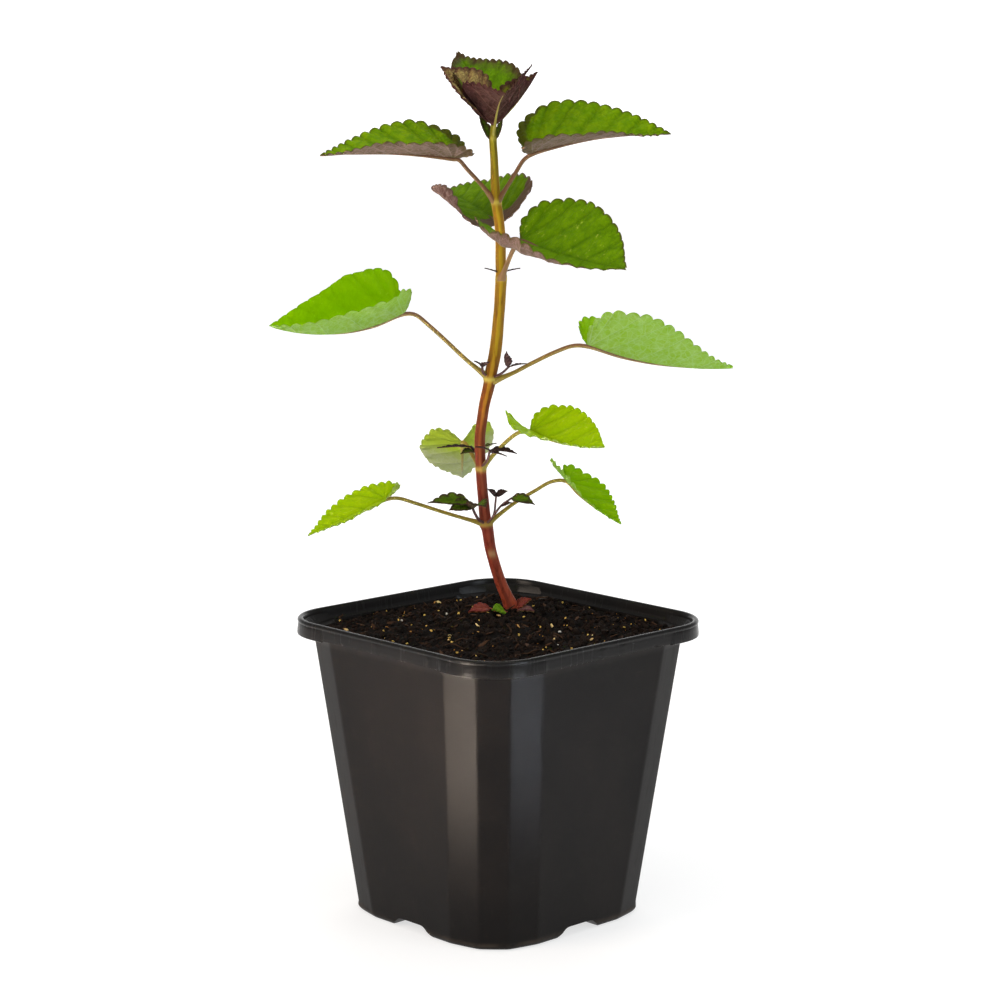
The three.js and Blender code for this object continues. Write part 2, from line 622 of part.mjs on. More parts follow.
// Half outline of a leaf in even steps of its own length, with its teeth.
function toothedOutline(leaf, rows) {
  const young = leaf.lobe <= 0;
  const outline = (young ? YOUNG_OUTLINE : GROWN_OUTLINE).map(([x, y], i) => {
    const along = !young && i >= 1 && i <= 3 ? x * leaf.lobe : x;
    const shift = i >= 4 && i <= 11 ? leaf.wide * Math.sin(Math.PI * along) : 0;
    return [along + shift, y];
  });
  const fine = [];
  const steps = 240;
  let travelled = 0;
  for (let k = 0; k <= steps; k++) {
    const [x, y] = outlinePoint(outline, k / steps);
    if (k > 0) {
      const last = fine[k - 1];
      travelled += Math.hypot((x - last.x) * leaf.length, (y - last.y) * leaf.half);
    }
    fine.push({ x, y, travelled });
  }
  const points = [];
  for (let r = 0; r < rows; r++) {
    const want = (travelled * r) / (rows - 1);
    let k = 1;
    while (k < steps && fine[k].travelled < want) k++;
    const span = fine[k].travelled - fine[k - 1].travelled || 1;
    const u = (want - fine[k - 1].travelled) / span;
    const x = fine[k - 1].x + (fine[k].x - fine[k - 1].x) * u;
    const y = fine[k - 1].y + (fine[k].y - fine[k - 1].y) * u;
    const dx = (fine[k].x - fine[k - 1].x) * leaf.length;
    const dy = (fine[k].y - fine[k - 1].y) * leaf.half;
    const long = Math.hypot(dx, dy) || 1;
    const tooth = r > 2 && r < rows - 2 ? (r % 2 ? 0.022 : -0.022) * leaf.half : 0;
    points.push([x - (dy / long) * (-tooth) / leaf.length, y + ((-dx / long) * -tooth) / leaf.half]);
  }
  return points;
}

// The midrib's place and directions at a share of the leaf's length.
function midrib(leaf, share) {
  const within = Math.min(Math.max(share, 0), 1);
  const heading = radians(leaf.heading);
  const forward = new THREE.Vector3(Math.cos(heading), Math.sin(heading), 0);
  const side = new THREE.Vector3(-Math.sin(heading), Math.cos(heading), 0);
  const up = new THREE.Vector3(0, 0, 1);
  const at = new THREE.Vector3(...leaf.base);
  const steps = 16;
  for (let k = 0; k < steps; k++) {
    const slope = radians(leaf.pitch - leaf.droop * within * ((k + 0.5) / steps));
    const step = (leaf.length * within) / steps;
    at.addScaledVector(forward, step * Math.cos(slope)).addScaledVector(up, step * Math.sin(slope));
  }
  const slope = radians(leaf.pitch - leaf.droop * within);
  const along = forward.clone().multiplyScalar(Math.cos(slope)).addScaledVector(up, Math.sin(slope));
  const above = forward.clone().multiplyScalar(-Math.sin(slope)).addScaledVector(up, Math.cos(slope));
  if (share < 0) at.addScaledVector(along, share * leaf.length);
  const turn = radians(leaf.roll + leaf.twist * within);
  return {
    at,
    along,
    left: side.clone().multiplyScalar(Math.cos(turn)).addScaledVector(above, Math.sin(turn)),
    above: side.clone().multiplyScalar(-Math.sin(turn)).addScaledVector(above, Math.cos(turn)),
  };
}

// A point of the blade: along and out as shares, on the left or the right half.
function bladePoint(leaf, along, out, hand) {
  const rib = midrib(leaf, along);
  const half = hand > 0 ? 0 : 1;
  const late = leaf.late?.[half] ?? 1;
  const raised = leaf.raised?.[half] ?? 0;
  const lobe = Math.min(Math.max((LOBE_FRONT - along) / LOBE_SPAN, 0), 1);
  const steps = 8;
  const point = rib.at.clone().addScaledVector(rib.above, raised * out * lobe ** 2);
  for (let k = 0; k < steps; k++) {
    const angle = radians(leaf.fold + leaf.curl[half] * (out * ((k + 0.5) / steps)) ** late);
    const step = (out * leaf.half) / steps;
    point
      .addScaledVector(rib.left, hand * step * Math.cos(angle))
      .addScaledVector(rib.above, step * Math.sin(angle));
  }
  return point;
}

// A leaf's blade as one thin closed sheet of even thickness.
function blade(leaf, rows, columns, thickness) {
  const margin = toothedOutline(leaf, rows);
  const across = [];
  for (let j = -columns; j <= columns; j++) across.push(j);
  const grid = margin.map(([x, y], i) => {
    const inner = Math.max((0.35 * i) / rows / 4, x * (1 - 0.4 * (1 - x)));
    return across.map((j) => {
      const q = Math.abs(j) / columns;
      return bladePoint(leaf, inner + (x - inner) * q, y * q, j <= 0 ? 1 : -1);
    });
  });
  const width = across.length;
  const upper = [];
  const lower = [];
  for (let i = 0; i < rows; i++) {
    for (let j = 0; j < width; j++) {
      const ahead = grid[Math.min(i + 1, rows - 1)][j].clone().sub(grid[Math.max(i - 1, 0)][j]);
      const right = grid[i][Math.min(j + 1, width - 1)].clone().sub(grid[i][Math.max(j - 1, 0)]);
      const normal = right.cross(ahead).normalize();
      const p = grid[i][j];
      upper.push(p.clone().addScaledVector(normal, thickness / 2).toArray());
      lower.push(p.clone().addScaledVector(normal, -thickness / 2).toArray());
    }
  }
  const points = [...upper, ...lower];
  const under = upper.length;
  const faces = [];
  for (let i = 0; i + 1 < rows; i++) {
    for (let j = 0; j + 1 < width; j++) {
      const a = i * width + j;
      const b = a + width;
      faces.push([a, a + 1, b + 1], [a, b + 1, b]);
      faces.push([under + a, under + b + 1, under + a + 1], [under + a, under + b, under + b + 1]);
    }
  }
  const wall = (p, q) => faces.push([p, under + q, under + p], [p, q, under + q]);
  for (let i = 0; i + 1 < rows; i++) {
    wall(i * width, (i + 1) * width);
    wall((i + 2) * width - 1, (i + 1) * width - 1);
  }
  for (let j = 0; j + 1 < width; j++) {
    wall(j + 1, j);
    wall((rows - 1) * width + j, (rows - 1) * width + j + 1);
  }
  return solid(points, faces);
}

// The stalk of a leaf, running on below the blade as its midrib.
function leafStalk(leaf, grow = 0) {
  const path = leaf.stalk.map((p) => p.slice());
  const radii = path.map((p, i) => (i === 0 ? 1.15 : 0.85) * leaf.stout + grow);
  for (const share of [0, leaf.rib * 0.5, leaf.rib]) {
    const rib = midrib(leaf, share);
    const drop = 0.35 + 0.25 * (1 - share);
    path.push(rib.at.clone().addScaledVector(rib.above, -drop).toArray());
    radii.push((0.85 - 0.5 * (share / leaf.rib)) * leaf.stout + grow);
  }
  return rod(path, radii, STALK_SIDES, leaf.stalk.length > 2 ? 10 : 7);
}

function makeLeaf(leaf, stemSpace) {
  const rows = 2 * leaf.teeth + 1;
  const sheet = blade(leaf, rows, 2, BLADE_THICKNESS);
  return largest(sheet.add(leafStalk(leaf)).subtract(stemSpace));
}

// What a leaf takes up with its gap.
function leafSpace(leaf) {
  const wider = { ...leaf, half: leaf.half + 1.5 * GAP, length: leaf.length + GAP };
  return blade(wider, 2 * leaf.teeth + 1, 2, BLADE_THICKNESS + 2 * GAP).add(leafStalk(leaf, GAP));
}

// A small leaf from its base and tip.
function smallLeaf({ base, tip, half, fold, roll, droop }, thickness) {
  const way = new THREE.Vector3(...tip).sub(new THREE.Vector3(...base));
  const length = way.length();
  const heading = THREE.MathUtils.radToDeg(Math.atan2(way.y, way.x));
  const slope = THREE.MathUtils.radToDeg(Math.asin(way.z / length));
  const leaf = {
    base, heading, pitch: slope + droop / 2, droop, length, half, roll, twist: 0, fold,
    curl: [8, 8], lobe: 0, wide: 0,
  };
  return blade(leaf, 7, 1, thickness);
}

// One shoot: its stalks and small leaves grown together.
function makeShoot(shoot, thickness, grow = 0) {
  let made = null;
  const join = (piece) => {
    made = made ? made.add(piece) : piece;
  };
  for (const path of shoot.stalks) {
    const radii = path.map((p, i) => shoot.radius * (1 - (0.25 * i) / path.length) + grow);
    join(rod(path, radii, 6, 5));
  }
  for (const leaf of shoot.leaves) {
    join(smallLeaf({ ...leaf, half: leaf.half + 1.5 * grow }, thickness + 2 * grow));
  }
  return made;
}

// A solid as a named mesh with its finish.
function meshOf(name, shape, finish) {
  const made = shape.asOriginal().simplify(FINENESS).getMesh();
  const positions = new Float32Array(made.numVert * 3);
  for (let i = 0; i < made.numVert; i++) {
    positions.set(made.vertProperties.subarray(i * made.numProp, i * made.numProp + 3), i * 3);
  }
  const geometry = new THREE.BufferGeometry();
  geometry.setAttribute("position", new THREE.BufferAttribute(positions, 3));
  geometry.setIndex(new THREE.BufferAttribute(new Uint32Array(made.triVerts), 1));
  geometry.computeVertexNormals();
  const mesh = new THREE.Mesh(geometry, new THREE.MeshStandardMaterial({ ...FINISHES[finish], metalness: 0 }));
  mesh.name = name;
  return mesh;
}

const potted = new THREE.Group();
potted.name = "potted_anise_hyssop";
const plant = new THREE.Group();
plant.name = "plant";
plant.rotation.z = PLANT_TURN;
potted.add(plant);

const stemSpace = makeStem(GAP);
plant.add(meshOf("main_stem", makeStem(), "main_stem"));

const leafSpaces = [];
const youngSpaces = [];
for (const leaf of LEAVES) {
  const young = leaf.lobe <= 0;
  leaf.stout = young ? YOUNG_STALK_RADIUS : Math.min(1.05, 0.72 + leaf.length / 180);
  let shape = makeLeaf(leaf, stemSpace);
  const space = leafSpace(leaf);
  if (young) {
    for (const other of youngSpaces) shape = largest(shape.subtract(other));
    youngSpaces.push(space);
  }
  leafSpaces.push(space);
  plant.add(meshOf(leaf.name, shape, young ? "young_leaf" : "leaf"));
}

// Adds shoots cut clear of the stem, of what is given, and of each other. Returns what they take up.
function addShoots(shoots, thickness, finish, cleared) {
  const spaces = [];
  for (const shoot of shoots) {
    let shape = makeShoot(shoot, thickness).subtract(stemSpace);
    for (const other of [...cleared, ...spaces]) shape = shape.subtract(other);
    spaces.push(makeShoot(shoot, thickness, GAP));
    plant.add(meshOf(shoot.name, largest(shape), finish));
  }
  return spaces;
}

addShoots(SHOOTS, SHOOT_THICKNESS, "shoot", leafSpaces);
const footSpaces = addShoots(FOOT_GROWTH, FOOT_THICKNESS, "foot", []);

potted.add(meshOf("pot", makePot(), "pot"));
potted.add(meshOf("soil", makeSoil([stemSpace, ...footSpaces]), "soil"));

export default potted;
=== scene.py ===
"""Potted anise hyssop: a young plant with paired, toothed leaves in a square black nursery pot of compost.

Sizes are millimetres unless a name says otherwise, and every mesh is written in metres. X and Y are square
to the pot's sides and Z is up. The plant has its own frame, turned in the pot: x to the right, y to the
back, z up.
"""

import json
import logging
import math
from collections.abc import Callable, Iterable, Sequence
from dataclasses import dataclass, replace
from enum import Enum

import bmesh
import bpy
import numpy as np
from mathutils import Matrix, Vector, noise

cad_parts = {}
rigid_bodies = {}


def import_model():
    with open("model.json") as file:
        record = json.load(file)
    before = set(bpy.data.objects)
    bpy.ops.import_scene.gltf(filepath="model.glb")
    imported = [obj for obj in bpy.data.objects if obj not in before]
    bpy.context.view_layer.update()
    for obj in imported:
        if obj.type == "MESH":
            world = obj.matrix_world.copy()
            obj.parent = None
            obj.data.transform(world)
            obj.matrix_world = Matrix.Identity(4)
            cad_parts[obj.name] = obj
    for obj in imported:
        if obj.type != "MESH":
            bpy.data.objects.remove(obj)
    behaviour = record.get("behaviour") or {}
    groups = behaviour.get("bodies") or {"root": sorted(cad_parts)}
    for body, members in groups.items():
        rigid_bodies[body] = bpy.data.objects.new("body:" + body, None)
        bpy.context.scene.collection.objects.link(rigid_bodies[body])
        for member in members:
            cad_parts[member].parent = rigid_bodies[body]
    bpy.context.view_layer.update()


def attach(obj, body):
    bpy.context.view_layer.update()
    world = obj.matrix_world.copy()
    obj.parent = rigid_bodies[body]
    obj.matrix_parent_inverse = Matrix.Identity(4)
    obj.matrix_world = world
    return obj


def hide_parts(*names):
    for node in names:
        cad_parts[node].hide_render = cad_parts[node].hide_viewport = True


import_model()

LOG = logging.getLogger("potted_hyssop")

MM = 0.001
# How near two corners of a mesh may lie before they are merged, in metres.
WELD_DISTANCE = 1e-7
# How finely a curve is followed between two of its given points before it is divided evenly.
CURVE_STEPS = 48
# How many targets are measured to at a time.
TARGETS_AT_ONCE = 64
BODY = "root"
PLANT_TURN = math.radians(-43.7)

# A paint chip is three levels from 0 to 255. A colour is linear, with how solid it is as a fourth number.
Chip = tuple[int, int, int]
Colour = tuple[float, float, float, float]
Point = tuple[float, float, float]
Array = np.ndarray
Given = dict | None
Material = bpy.types.Material
Piece = bpy.types.Object


def paint(chip: Chip) -> Colour:
    """The linear colour of a paint chip, as the shaders take it."""
    levels = [level / 255 for level in chip]
    return (*(c / 12.92 if c <= 0.04045 else ((c + 0.055) / 1.055) ** 2.4 for c in levels), 1.0)


def unit(vectors: Array) -> Array:
    """Vectors at length one."""
    return vectors / np.maximum(np.linalg.norm(vectors, axis=-1, keepdims=True), 1e-9)


def turned(points: Array, angle: float) -> Array:
    """Points turned about Z by an angle in radians."""
    c, s = math.cos(angle), math.sin(angle)
    return points @ np.array([[c, s, 0], [-s, c, 0], [0, 0, 1]])


def eased(value: Array, low: float, high: float) -> Array:
    """A smooth step from 0 at low to 1 at high."""
    share = np.clip((value - low) / (high - low), 0, 1)
    return share * share * (3 - 2 * share)


def hump(away: Array, width: float) -> Array:
    """A smooth hump, 1 where away is nought and gone some two widths off."""
    return np.exp(-((away / width) ** 2))


def bend(first: Array, corner: Array, last: Array) -> list[Array]:
    """Five points on the curve from first to last that rounds off a corner."""
    return [first * (1 - u) ** 2 + corner * 2 * u * (1 - u) + last * u * u for u in (0, 0.25, 0.5, 0.75, 1)]


def travelled(line: Array) -> Array:
    """How far along a line of points each of them is."""
    return np.concatenate([[0], np.cumsum(np.linalg.norm(np.diff(line, axis=0), axis=1))])


def read_off(want: Array, places: Array, line: Array) -> Array:
    """Points of a line at wanted places, straight between those it has."""
    return np.stack([np.interp(want, places, axis) for axis in line.T], axis=1)


def nearest(points: Array, targets: Array) -> Array:
    """How far each point is from the nearest of the targets.

    Args:
        points: Rows of points.
        targets: Rows of points to measure to.

    Returns:
        One distance for each point.
    """
    found = np.full(len(points), 1e9)
    for block in np.array_split(np.arange(len(targets)), max(1, len(targets) // TARGETS_AT_ONCE)):
        gaps = points[:, None, :] - targets[None, block, :]
        found = np.minimum(found, np.sqrt((gaps**2).sum(-1)).min(1))
    return found


def smooth_path(through: Sequence[Point], steps: int) -> tuple[Array, Array]:
    """Evenly spaced points along a centripetal curve.

    Args:
        through: The points that the curve passes.
        steps: How many stretches the curve is cut into.

    Returns:
        The points, and each one's place among the given ones, counted from nought.
    """
    given = np.array(through, float)
    last = len(given) - 1
    padded = np.vstack([2 * given[0] - given[1], given, 2 * given[-1] - given[-2]])
    places = np.linspace(0, last, CURVE_STEPS * last + 1)
    start = np.minimum(places.astype(int), last - 1)
    w = (places - start)[:, None]
    p0, p1, p2, p3 = (padded[start + k] for k in range(4))
    d0, d1, d2 = (
        np.sqrt(np.maximum(np.linalg.norm(b - a, axis=1, keepdims=True), 1e-4))
        for a, b in ((p0, p1), (p1, p2), (p2, p3))
    )
    t1 = ((p1 - p0) / d0 - (p2 - p0) / (d0 + d1) + (p2 - p1) / d1) * d1
    t2 = ((p2 - p1) / d1 - (p3 - p1) / (d1 + d2) + (p3 - p2) / d2) * d1
    fine = p1 + t1 * w + (3 * (p2 - p1) - 2 * t1 - t2) * w**2 + (2 * (p1 - p2) + t1 + t2) * w**3
    gone = travelled(fine)
    want = np.linspace(0, gone[-1], steps + 1)
    return read_off(want, gone, fine), np.interp(want, gone, places)


def set_out(name: str, data: bpy.types.ID) -> Piece:
    """Makes an object of its data and adds it to the scene.

    Args:
        name: The object's name.
        data: Its mesh, light or camera.

    Returns:
        The object.
    """
    made = bpy.data.objects.new(name, data)
    bpy.context.scene.collection.objects.link(made)
    return made


def modified(made: Piece) -> bpy.types.Mesh:
    """A new mesh of what a piece is with its modifiers."""
    seen = bpy.context.evaluated_depsgraph_get()
    return bpy.data.meshes.new_from_object(made.evaluated_get(seen))


class Draft:
    """A mesh while it is being made, from sheets, rods and solids in millimetres."""

    def __init__(self) -> None:
        """Starts with no corners and no faces."""
        self.points: list[Array] = []
        self.faces: list[tuple[int, ...]] = []
        self.finishes: list[int] = []
        self.marks: dict[str, list[Array]] = {}
        self.count = 0

    def add(self, points: Array, faces: Iterable[Sequence[int]], finish: int = 0, **marks: Array) -> None:
        """Adds one closed surface.

        Args:
            points: Its corners.
            faces: Its faces, as rows of corner numbers.
            finish: Which of the piece's materials it wears.
            **marks: Values at the corners that its material reads, by name.
        """
        shifted = [tuple(int(k) + self.count for k in face) for face in faces]
        for name in set(marks) - set(self.marks):
            self.marks[name] = [np.zeros(len(p)) for p in self.points]
        for name, values in self.marks.items():
            values.append(np.asarray(marks.get(name, np.zeros(len(points))), float))
        self.points.append(points)
        self.faces += shifted
        self.finishes += [finish] * len(shifted)
        self.count += len(points)

    def piece(self, name: str, materials: Sequence[Material], turn: float = 0.0) -> Piece:
        """Turns the draft into an object whose place is in its mesh.

        Args:
            name: The object's name.
            materials: The materials that the finishes count from.
            turn: How far the draft is turned about Z, in radians.

        Returns:
            The object.
        """
        mesh = bpy.data.meshes.new(name)
        mesh.from_pydata((turned(np.vstack(self.points), turn) * MM).tolist(), [], self.faces)
        for material in materials:
            mesh.materials.append(material)
        mesh.polygons.foreach_set("material_index", self.finishes)
        mesh.polygons.foreach_set("use_smooth", [True] * len(self.faces))
        for key, values in self.marks.items():
            attribute = mesh.attributes.new(key, "FLOAT", "POINT")
            attribute.data.foreach_set("value", np.concatenate(values).astype(np.float32))
        mesh.validate()
        weld(mesh)
        return set_out(name, mesh)


def weld(mesh: bpy.types.Mesh) -> None:
    """Merges corners that lie on one another, so that no edge has a length of nought.

    Args:
        mesh: The mesh that is mended in place.
    """
    shape = bmesh.new()
    shape.from_mesh(mesh)
    bmesh.ops.remove_doubles(shape, verts=shape.verts, dist=WELD_DISTANCE)
    shape.to_mesh(mesh)
    shape.free()


def grid_faces(rows: int, columns: int, start: int = 0, closed: bool = False, flip: bool = False) -> Array:
    """Faces between the rows of a grid of points.

    Args:
        rows: How many rows of points there are.
        columns: How many points a row has.
        start: The number of the grid's first point.
        closed: Whether a row's last point joins its first.
        flip: Whether the faces point the other way.

    Returns:
        Faces of four corners.
    """
    i, j = np.meshgrid(np.arange(rows - 1), np.arange(columns if closed else columns - 1), indexing="ij")
    a = (i * columns + j).ravel() + start
    b = (i * columns + (j + 1) % columns).ravel() + start
    corners = np.stack([a, b, b + columns, a + columns], axis=1)
    return corners[:, ::-1] if flip else corners


def loft(rings: Sequence[Array]) -> tuple[Array, list[tuple[int, ...]]]:
    """A closed solid between rings with equal point counts, each running the same way round.

    Args:
        rings: The rings from the first cap to the last.

    Returns:
        The corners and the faces.
    """
    count = len(rings[0])
    points = np.vstack([*rings, rings[0].mean(0), rings[-1].mean(0)])
    faces = [tuple(face) for face in grid_faces(len(rings), count, closed=True)]
    first, last = len(points) - 2, len(points) - 1
    top = (len(rings) - 1) * count
    for i in range(count):
        after = (i + 1) % count
        faces.append((first, after, i))
        faces.append((last, top + i, top + after))
    return points, faces


@dataclass
class Rod:
    """A round or ridged rod of changing radius along a smooth curve."""

    through: Sequence[Point]
    radii: Sequence[float]
    sides: int
    rings: int
    section: Callable[[Array], Array] = lambda angle: np.ones_like(angle)
    sideways: Point = (0.0, 0.0, 1.0)
    finish: int = 0

    def draw(self, draft: Draft, shaped: Callable[[Array, Array], Array] | None = None) -> None:
        """Adds the rod to a draft.

        Args:
            draft: The draft that it joins.
            shaped: A further factor on the radius, from how far along and the angle round.
        """
        path, places = smooth_path(self.through, self.rings)
        ahead = unit(np.gradient(path, axis=0))
        across = np.empty_like(path)
        side = np.array(self.sideways, float)
        for k, way in enumerate(ahead):
            side = unit(side - way * (side @ way))
            across[k] = side
        other = np.cross(ahead, across)
        radius = np.interp(places, np.arange(len(self.radii)), self.radii)
        angle = np.linspace(0, 2 * math.pi, self.sides, endpoint=False)
        share = np.linspace(0, 1, self.rings + 1)
        reach = radius[:, None] * self.section(angle)[None, :]
        if shaped:
            reach = reach * shaped(share[:, None], angle[None, :])
        c, s = (way(angle)[None, :, None] for way in (np.cos, np.sin))
        rings = path[:, None, :] + reach[:, :, None] * (c * across[:, None, :] + s * other[:, None, :])
        points, faces = loft(list(rings))
        along = np.concatenate([np.repeat(share, self.sides), [0.0, 1.0]])
        top = np.concatenate([np.tile(np.cos(angle), self.rings + 1), [0.0, 0.0]])
        draft.add(points, faces, self.finish, along=along, top=top)


# Node trees


class Wire:
    """A node's socket that is reckoned with: an expression on wires adds the Math nodes for it."""

    def __init__(self, nodes: "Nodes", socket: bpy.types.NodeSocket) -> None:
        """Takes hold of a socket of a tree."""
        self.nodes = nodes
        self.socket = socket

    def __add__(self, other: "Wire | float") -> "Wire":
        """Sum."""
        return self.nodes.maths("ADD", self, other)

    def __sub__(self, other: "Wire | float") -> "Wire":
        """Difference."""
        return self.nodes.maths("SUBTRACT", self, other)

    def __rsub__(self, other: float) -> "Wire":
        """Difference from a number."""
        return self.nodes.maths("SUBTRACT", other, self)

    def __mul__(self, other: "Wire | float") -> "Wire":
        """Product."""
        return self.nodes.maths("MULTIPLY", self, other)

    __radd__ = __add__


class Nodes:
    """A node tree, with short ways to make its nodes."""

    def __init__(self, tree: bpy.types.NodeTree) -> None:
        """Takes hold of a tree."""
        self.tree = tree

    def node(self, kind: str, settings: Given = None, values: Given = None) -> bpy.types.Node:
        """Makes any node.

        Args:
            kind: The node's type.
            settings: Its settings, which are set first. stops fills a ramp with places and chips.
            values: What its sockets take by name or number: a value, a paint chip, or a wire to link.

        Returns:
            The node.
        """
        made = self.tree.nodes.new(kind)
        for key, value in (settings or {}).items():
            if key == "stops":
                self.fill(made.color_ramp, value)
            else:
                setattr(made, key, value)
        for key, value in (values or {}).items():
            if isinstance(value, Wire):
                self.tree.links.new(value.socket, made.inputs[key])
            elif made.inputs[key].type == "RGBA" and len(value) == 3:
                made.inputs[key].default_value = paint(value)
            else:
                made.inputs[key].default_value = value
        return made

    @staticmethod
    def fill(ramp: bpy.types.ColorRamp, stops: Sequence[tuple[float, Chip]]) -> None:
        """Gives a ramp its stops.

        Args:
            ramp: The ramp to fill.
            stops: Places from 0 to 1 in rising order, each with its paint chip.
        """
        while len(ramp.elements) > 1:
            ramp.elements.remove(ramp.elements[-1])
        for number, (place, chip) in enumerate(stops):
            element = ramp.elements[0] if number == 0 else ramp.elements.new(place)
            element.position = place
            element.color = paint(chip)

    def wire(self, kind: str, output: int | str, settings: Given = None, values: Given = None) -> Wire:
        """Makes a node and takes one of its outputs."""
        return Wire(self, self.node(kind, settings, values).outputs[output])

    def maths(self, operation: str, *terms: Wire | float) -> Wire:
        """One Math node on its terms."""
        return self.wire("ShaderNodeMath", 0, {"operation": operation}, dict(enumerate(terms)))

    def split(self, vector: Wire, axis: str) -> Wire:
        """One axis of a vector."""
        return self.wire("ShaderNodeSeparateXYZ", axis, None, {"Vector": vector})


class Shader(Nodes):
    """A material's node tree, with short ways to make what the finishes need."""

    def __init__(self, name: str) -> None:
        """Starts a material with an empty tree.

        Args:
            name: The material's name.
        """
        self.material = bpy.data.materials.new(name)
        self.material.use_nodes = True
        super().__init__(self.material.node_tree)
        self.tree.nodes.clear()

    def place(self) -> Wire:
        """Where on the object a point is, in metres."""
        return self.wire("ShaderNodeTexCoord", "Object")

    def mark(self, name: str) -> Wire:
        """A number that the mesh holds at its corners."""
        return self.wire("ShaderNodeAttribute", "Fac", {"attribute_name": name})

    def pair(self, across: Wire, along: Wire) -> Wire:
        """Two numbers as a place on a flat sheet."""
        return self.wire("ShaderNodeCombineXYZ", 0, None, {"X": across, "Y": along})

    def stretch(self, vector: Wire, factors: Point) -> Wire:
        """A vector with each axis times its own factor."""
        return self.wire("ShaderNodeVectorMath", 0, {"operation": "MULTIPLY"}, {0: vector, 1: factors})

    def noise(
        self, where: Wire, scale: float, detail: float = 3.0, rough: float = 0.55, distortion: float = 0.0
    ) -> Wire:
        """Soft noise from 0 to 1."""
        values = {"Vector": where, "Scale": scale, "Detail": detail, "Roughness": rough}
        return self.wire("ShaderNodeTexNoise", "Fac", None, {**values, "Distortion": distortion})

    def cells(self, where: Wire, scale: float) -> Wire:
        """Cells, as the distance to their edges."""
        settings = {"feature": "DISTANCE_TO_EDGE"}
        return self.wire("ShaderNodeTexVoronoi", "Distance", settings, {"Vector": where, "Scale": scale})

    def between(self, value: Wire, low: float, high: float) -> Wire:
        """A smooth step from 0 at low to 1 at high."""
        values = {0: value, 1: low, 2: high, 3: 0.0, 4: 1.0}
        return self.wire("ShaderNodeMapRange", 0, {"interpolation_type": "SMOOTHSTEP"}, values)

    def mix(self, share: Wire | float, first: Wire | Chip | Colour, second: Wire | Chip | Colour) -> Wire:
        """A colour between two, all first at 0 and all second at 1."""
        return self.wire("ShaderNodeMix", 2, {"data_type": "RGBA"}, {0: share, 6: first, 7: second})

    def ramp(self, value: Wire, stops: Sequence[tuple[float, Chip]]) -> Wire:
        """A colour from a ramp."""
        return self.wire("ShaderNodeValToRGB", 0, {"stops": stops}, {0: value})

    def bump(self, height: Wire, depth_mm: float, strength: float) -> Wire:
        """A normal from a height."""
        values = {"Height": height, "Distance": depth_mm * MM, "Strength": strength}
        return self.wire("ShaderNodeBump", 0, None, values)

    def dress(
        self,
        colour: Wire,
        roughness: Wire | float,
        normal: Wire,
        further: dict,
        glow: tuple[float, Chip] | None = None,
    ) -> Material:
        """Closes the tree.

        Args:
            colour: The base colour.
            roughness: The roughness.
            normal: The normal.
            further: What the shader's other sockets take, by name.
            glow: The share and the colour of light that comes through from the other side.

        Returns:
            The finished material.
        """
        values = {"Base Color": colour, "Roughness": roughness, "Normal": normal, **further}
        surface = self.wire("ShaderNodeBsdfPrincipled", 0, None, values)
        if glow:
            share, tint = glow
            through = self.wire("ShaderNodeBsdfTranslucent", 0, None, {"Color": tint})
            surface = self.wire("ShaderNodeMixShader", 0, None, {0: share, 1: surface, 2: through})
        self.node("ShaderNodeOutputMaterial", None, {"Surface": surface})
        return self.material


# Leaf finishes


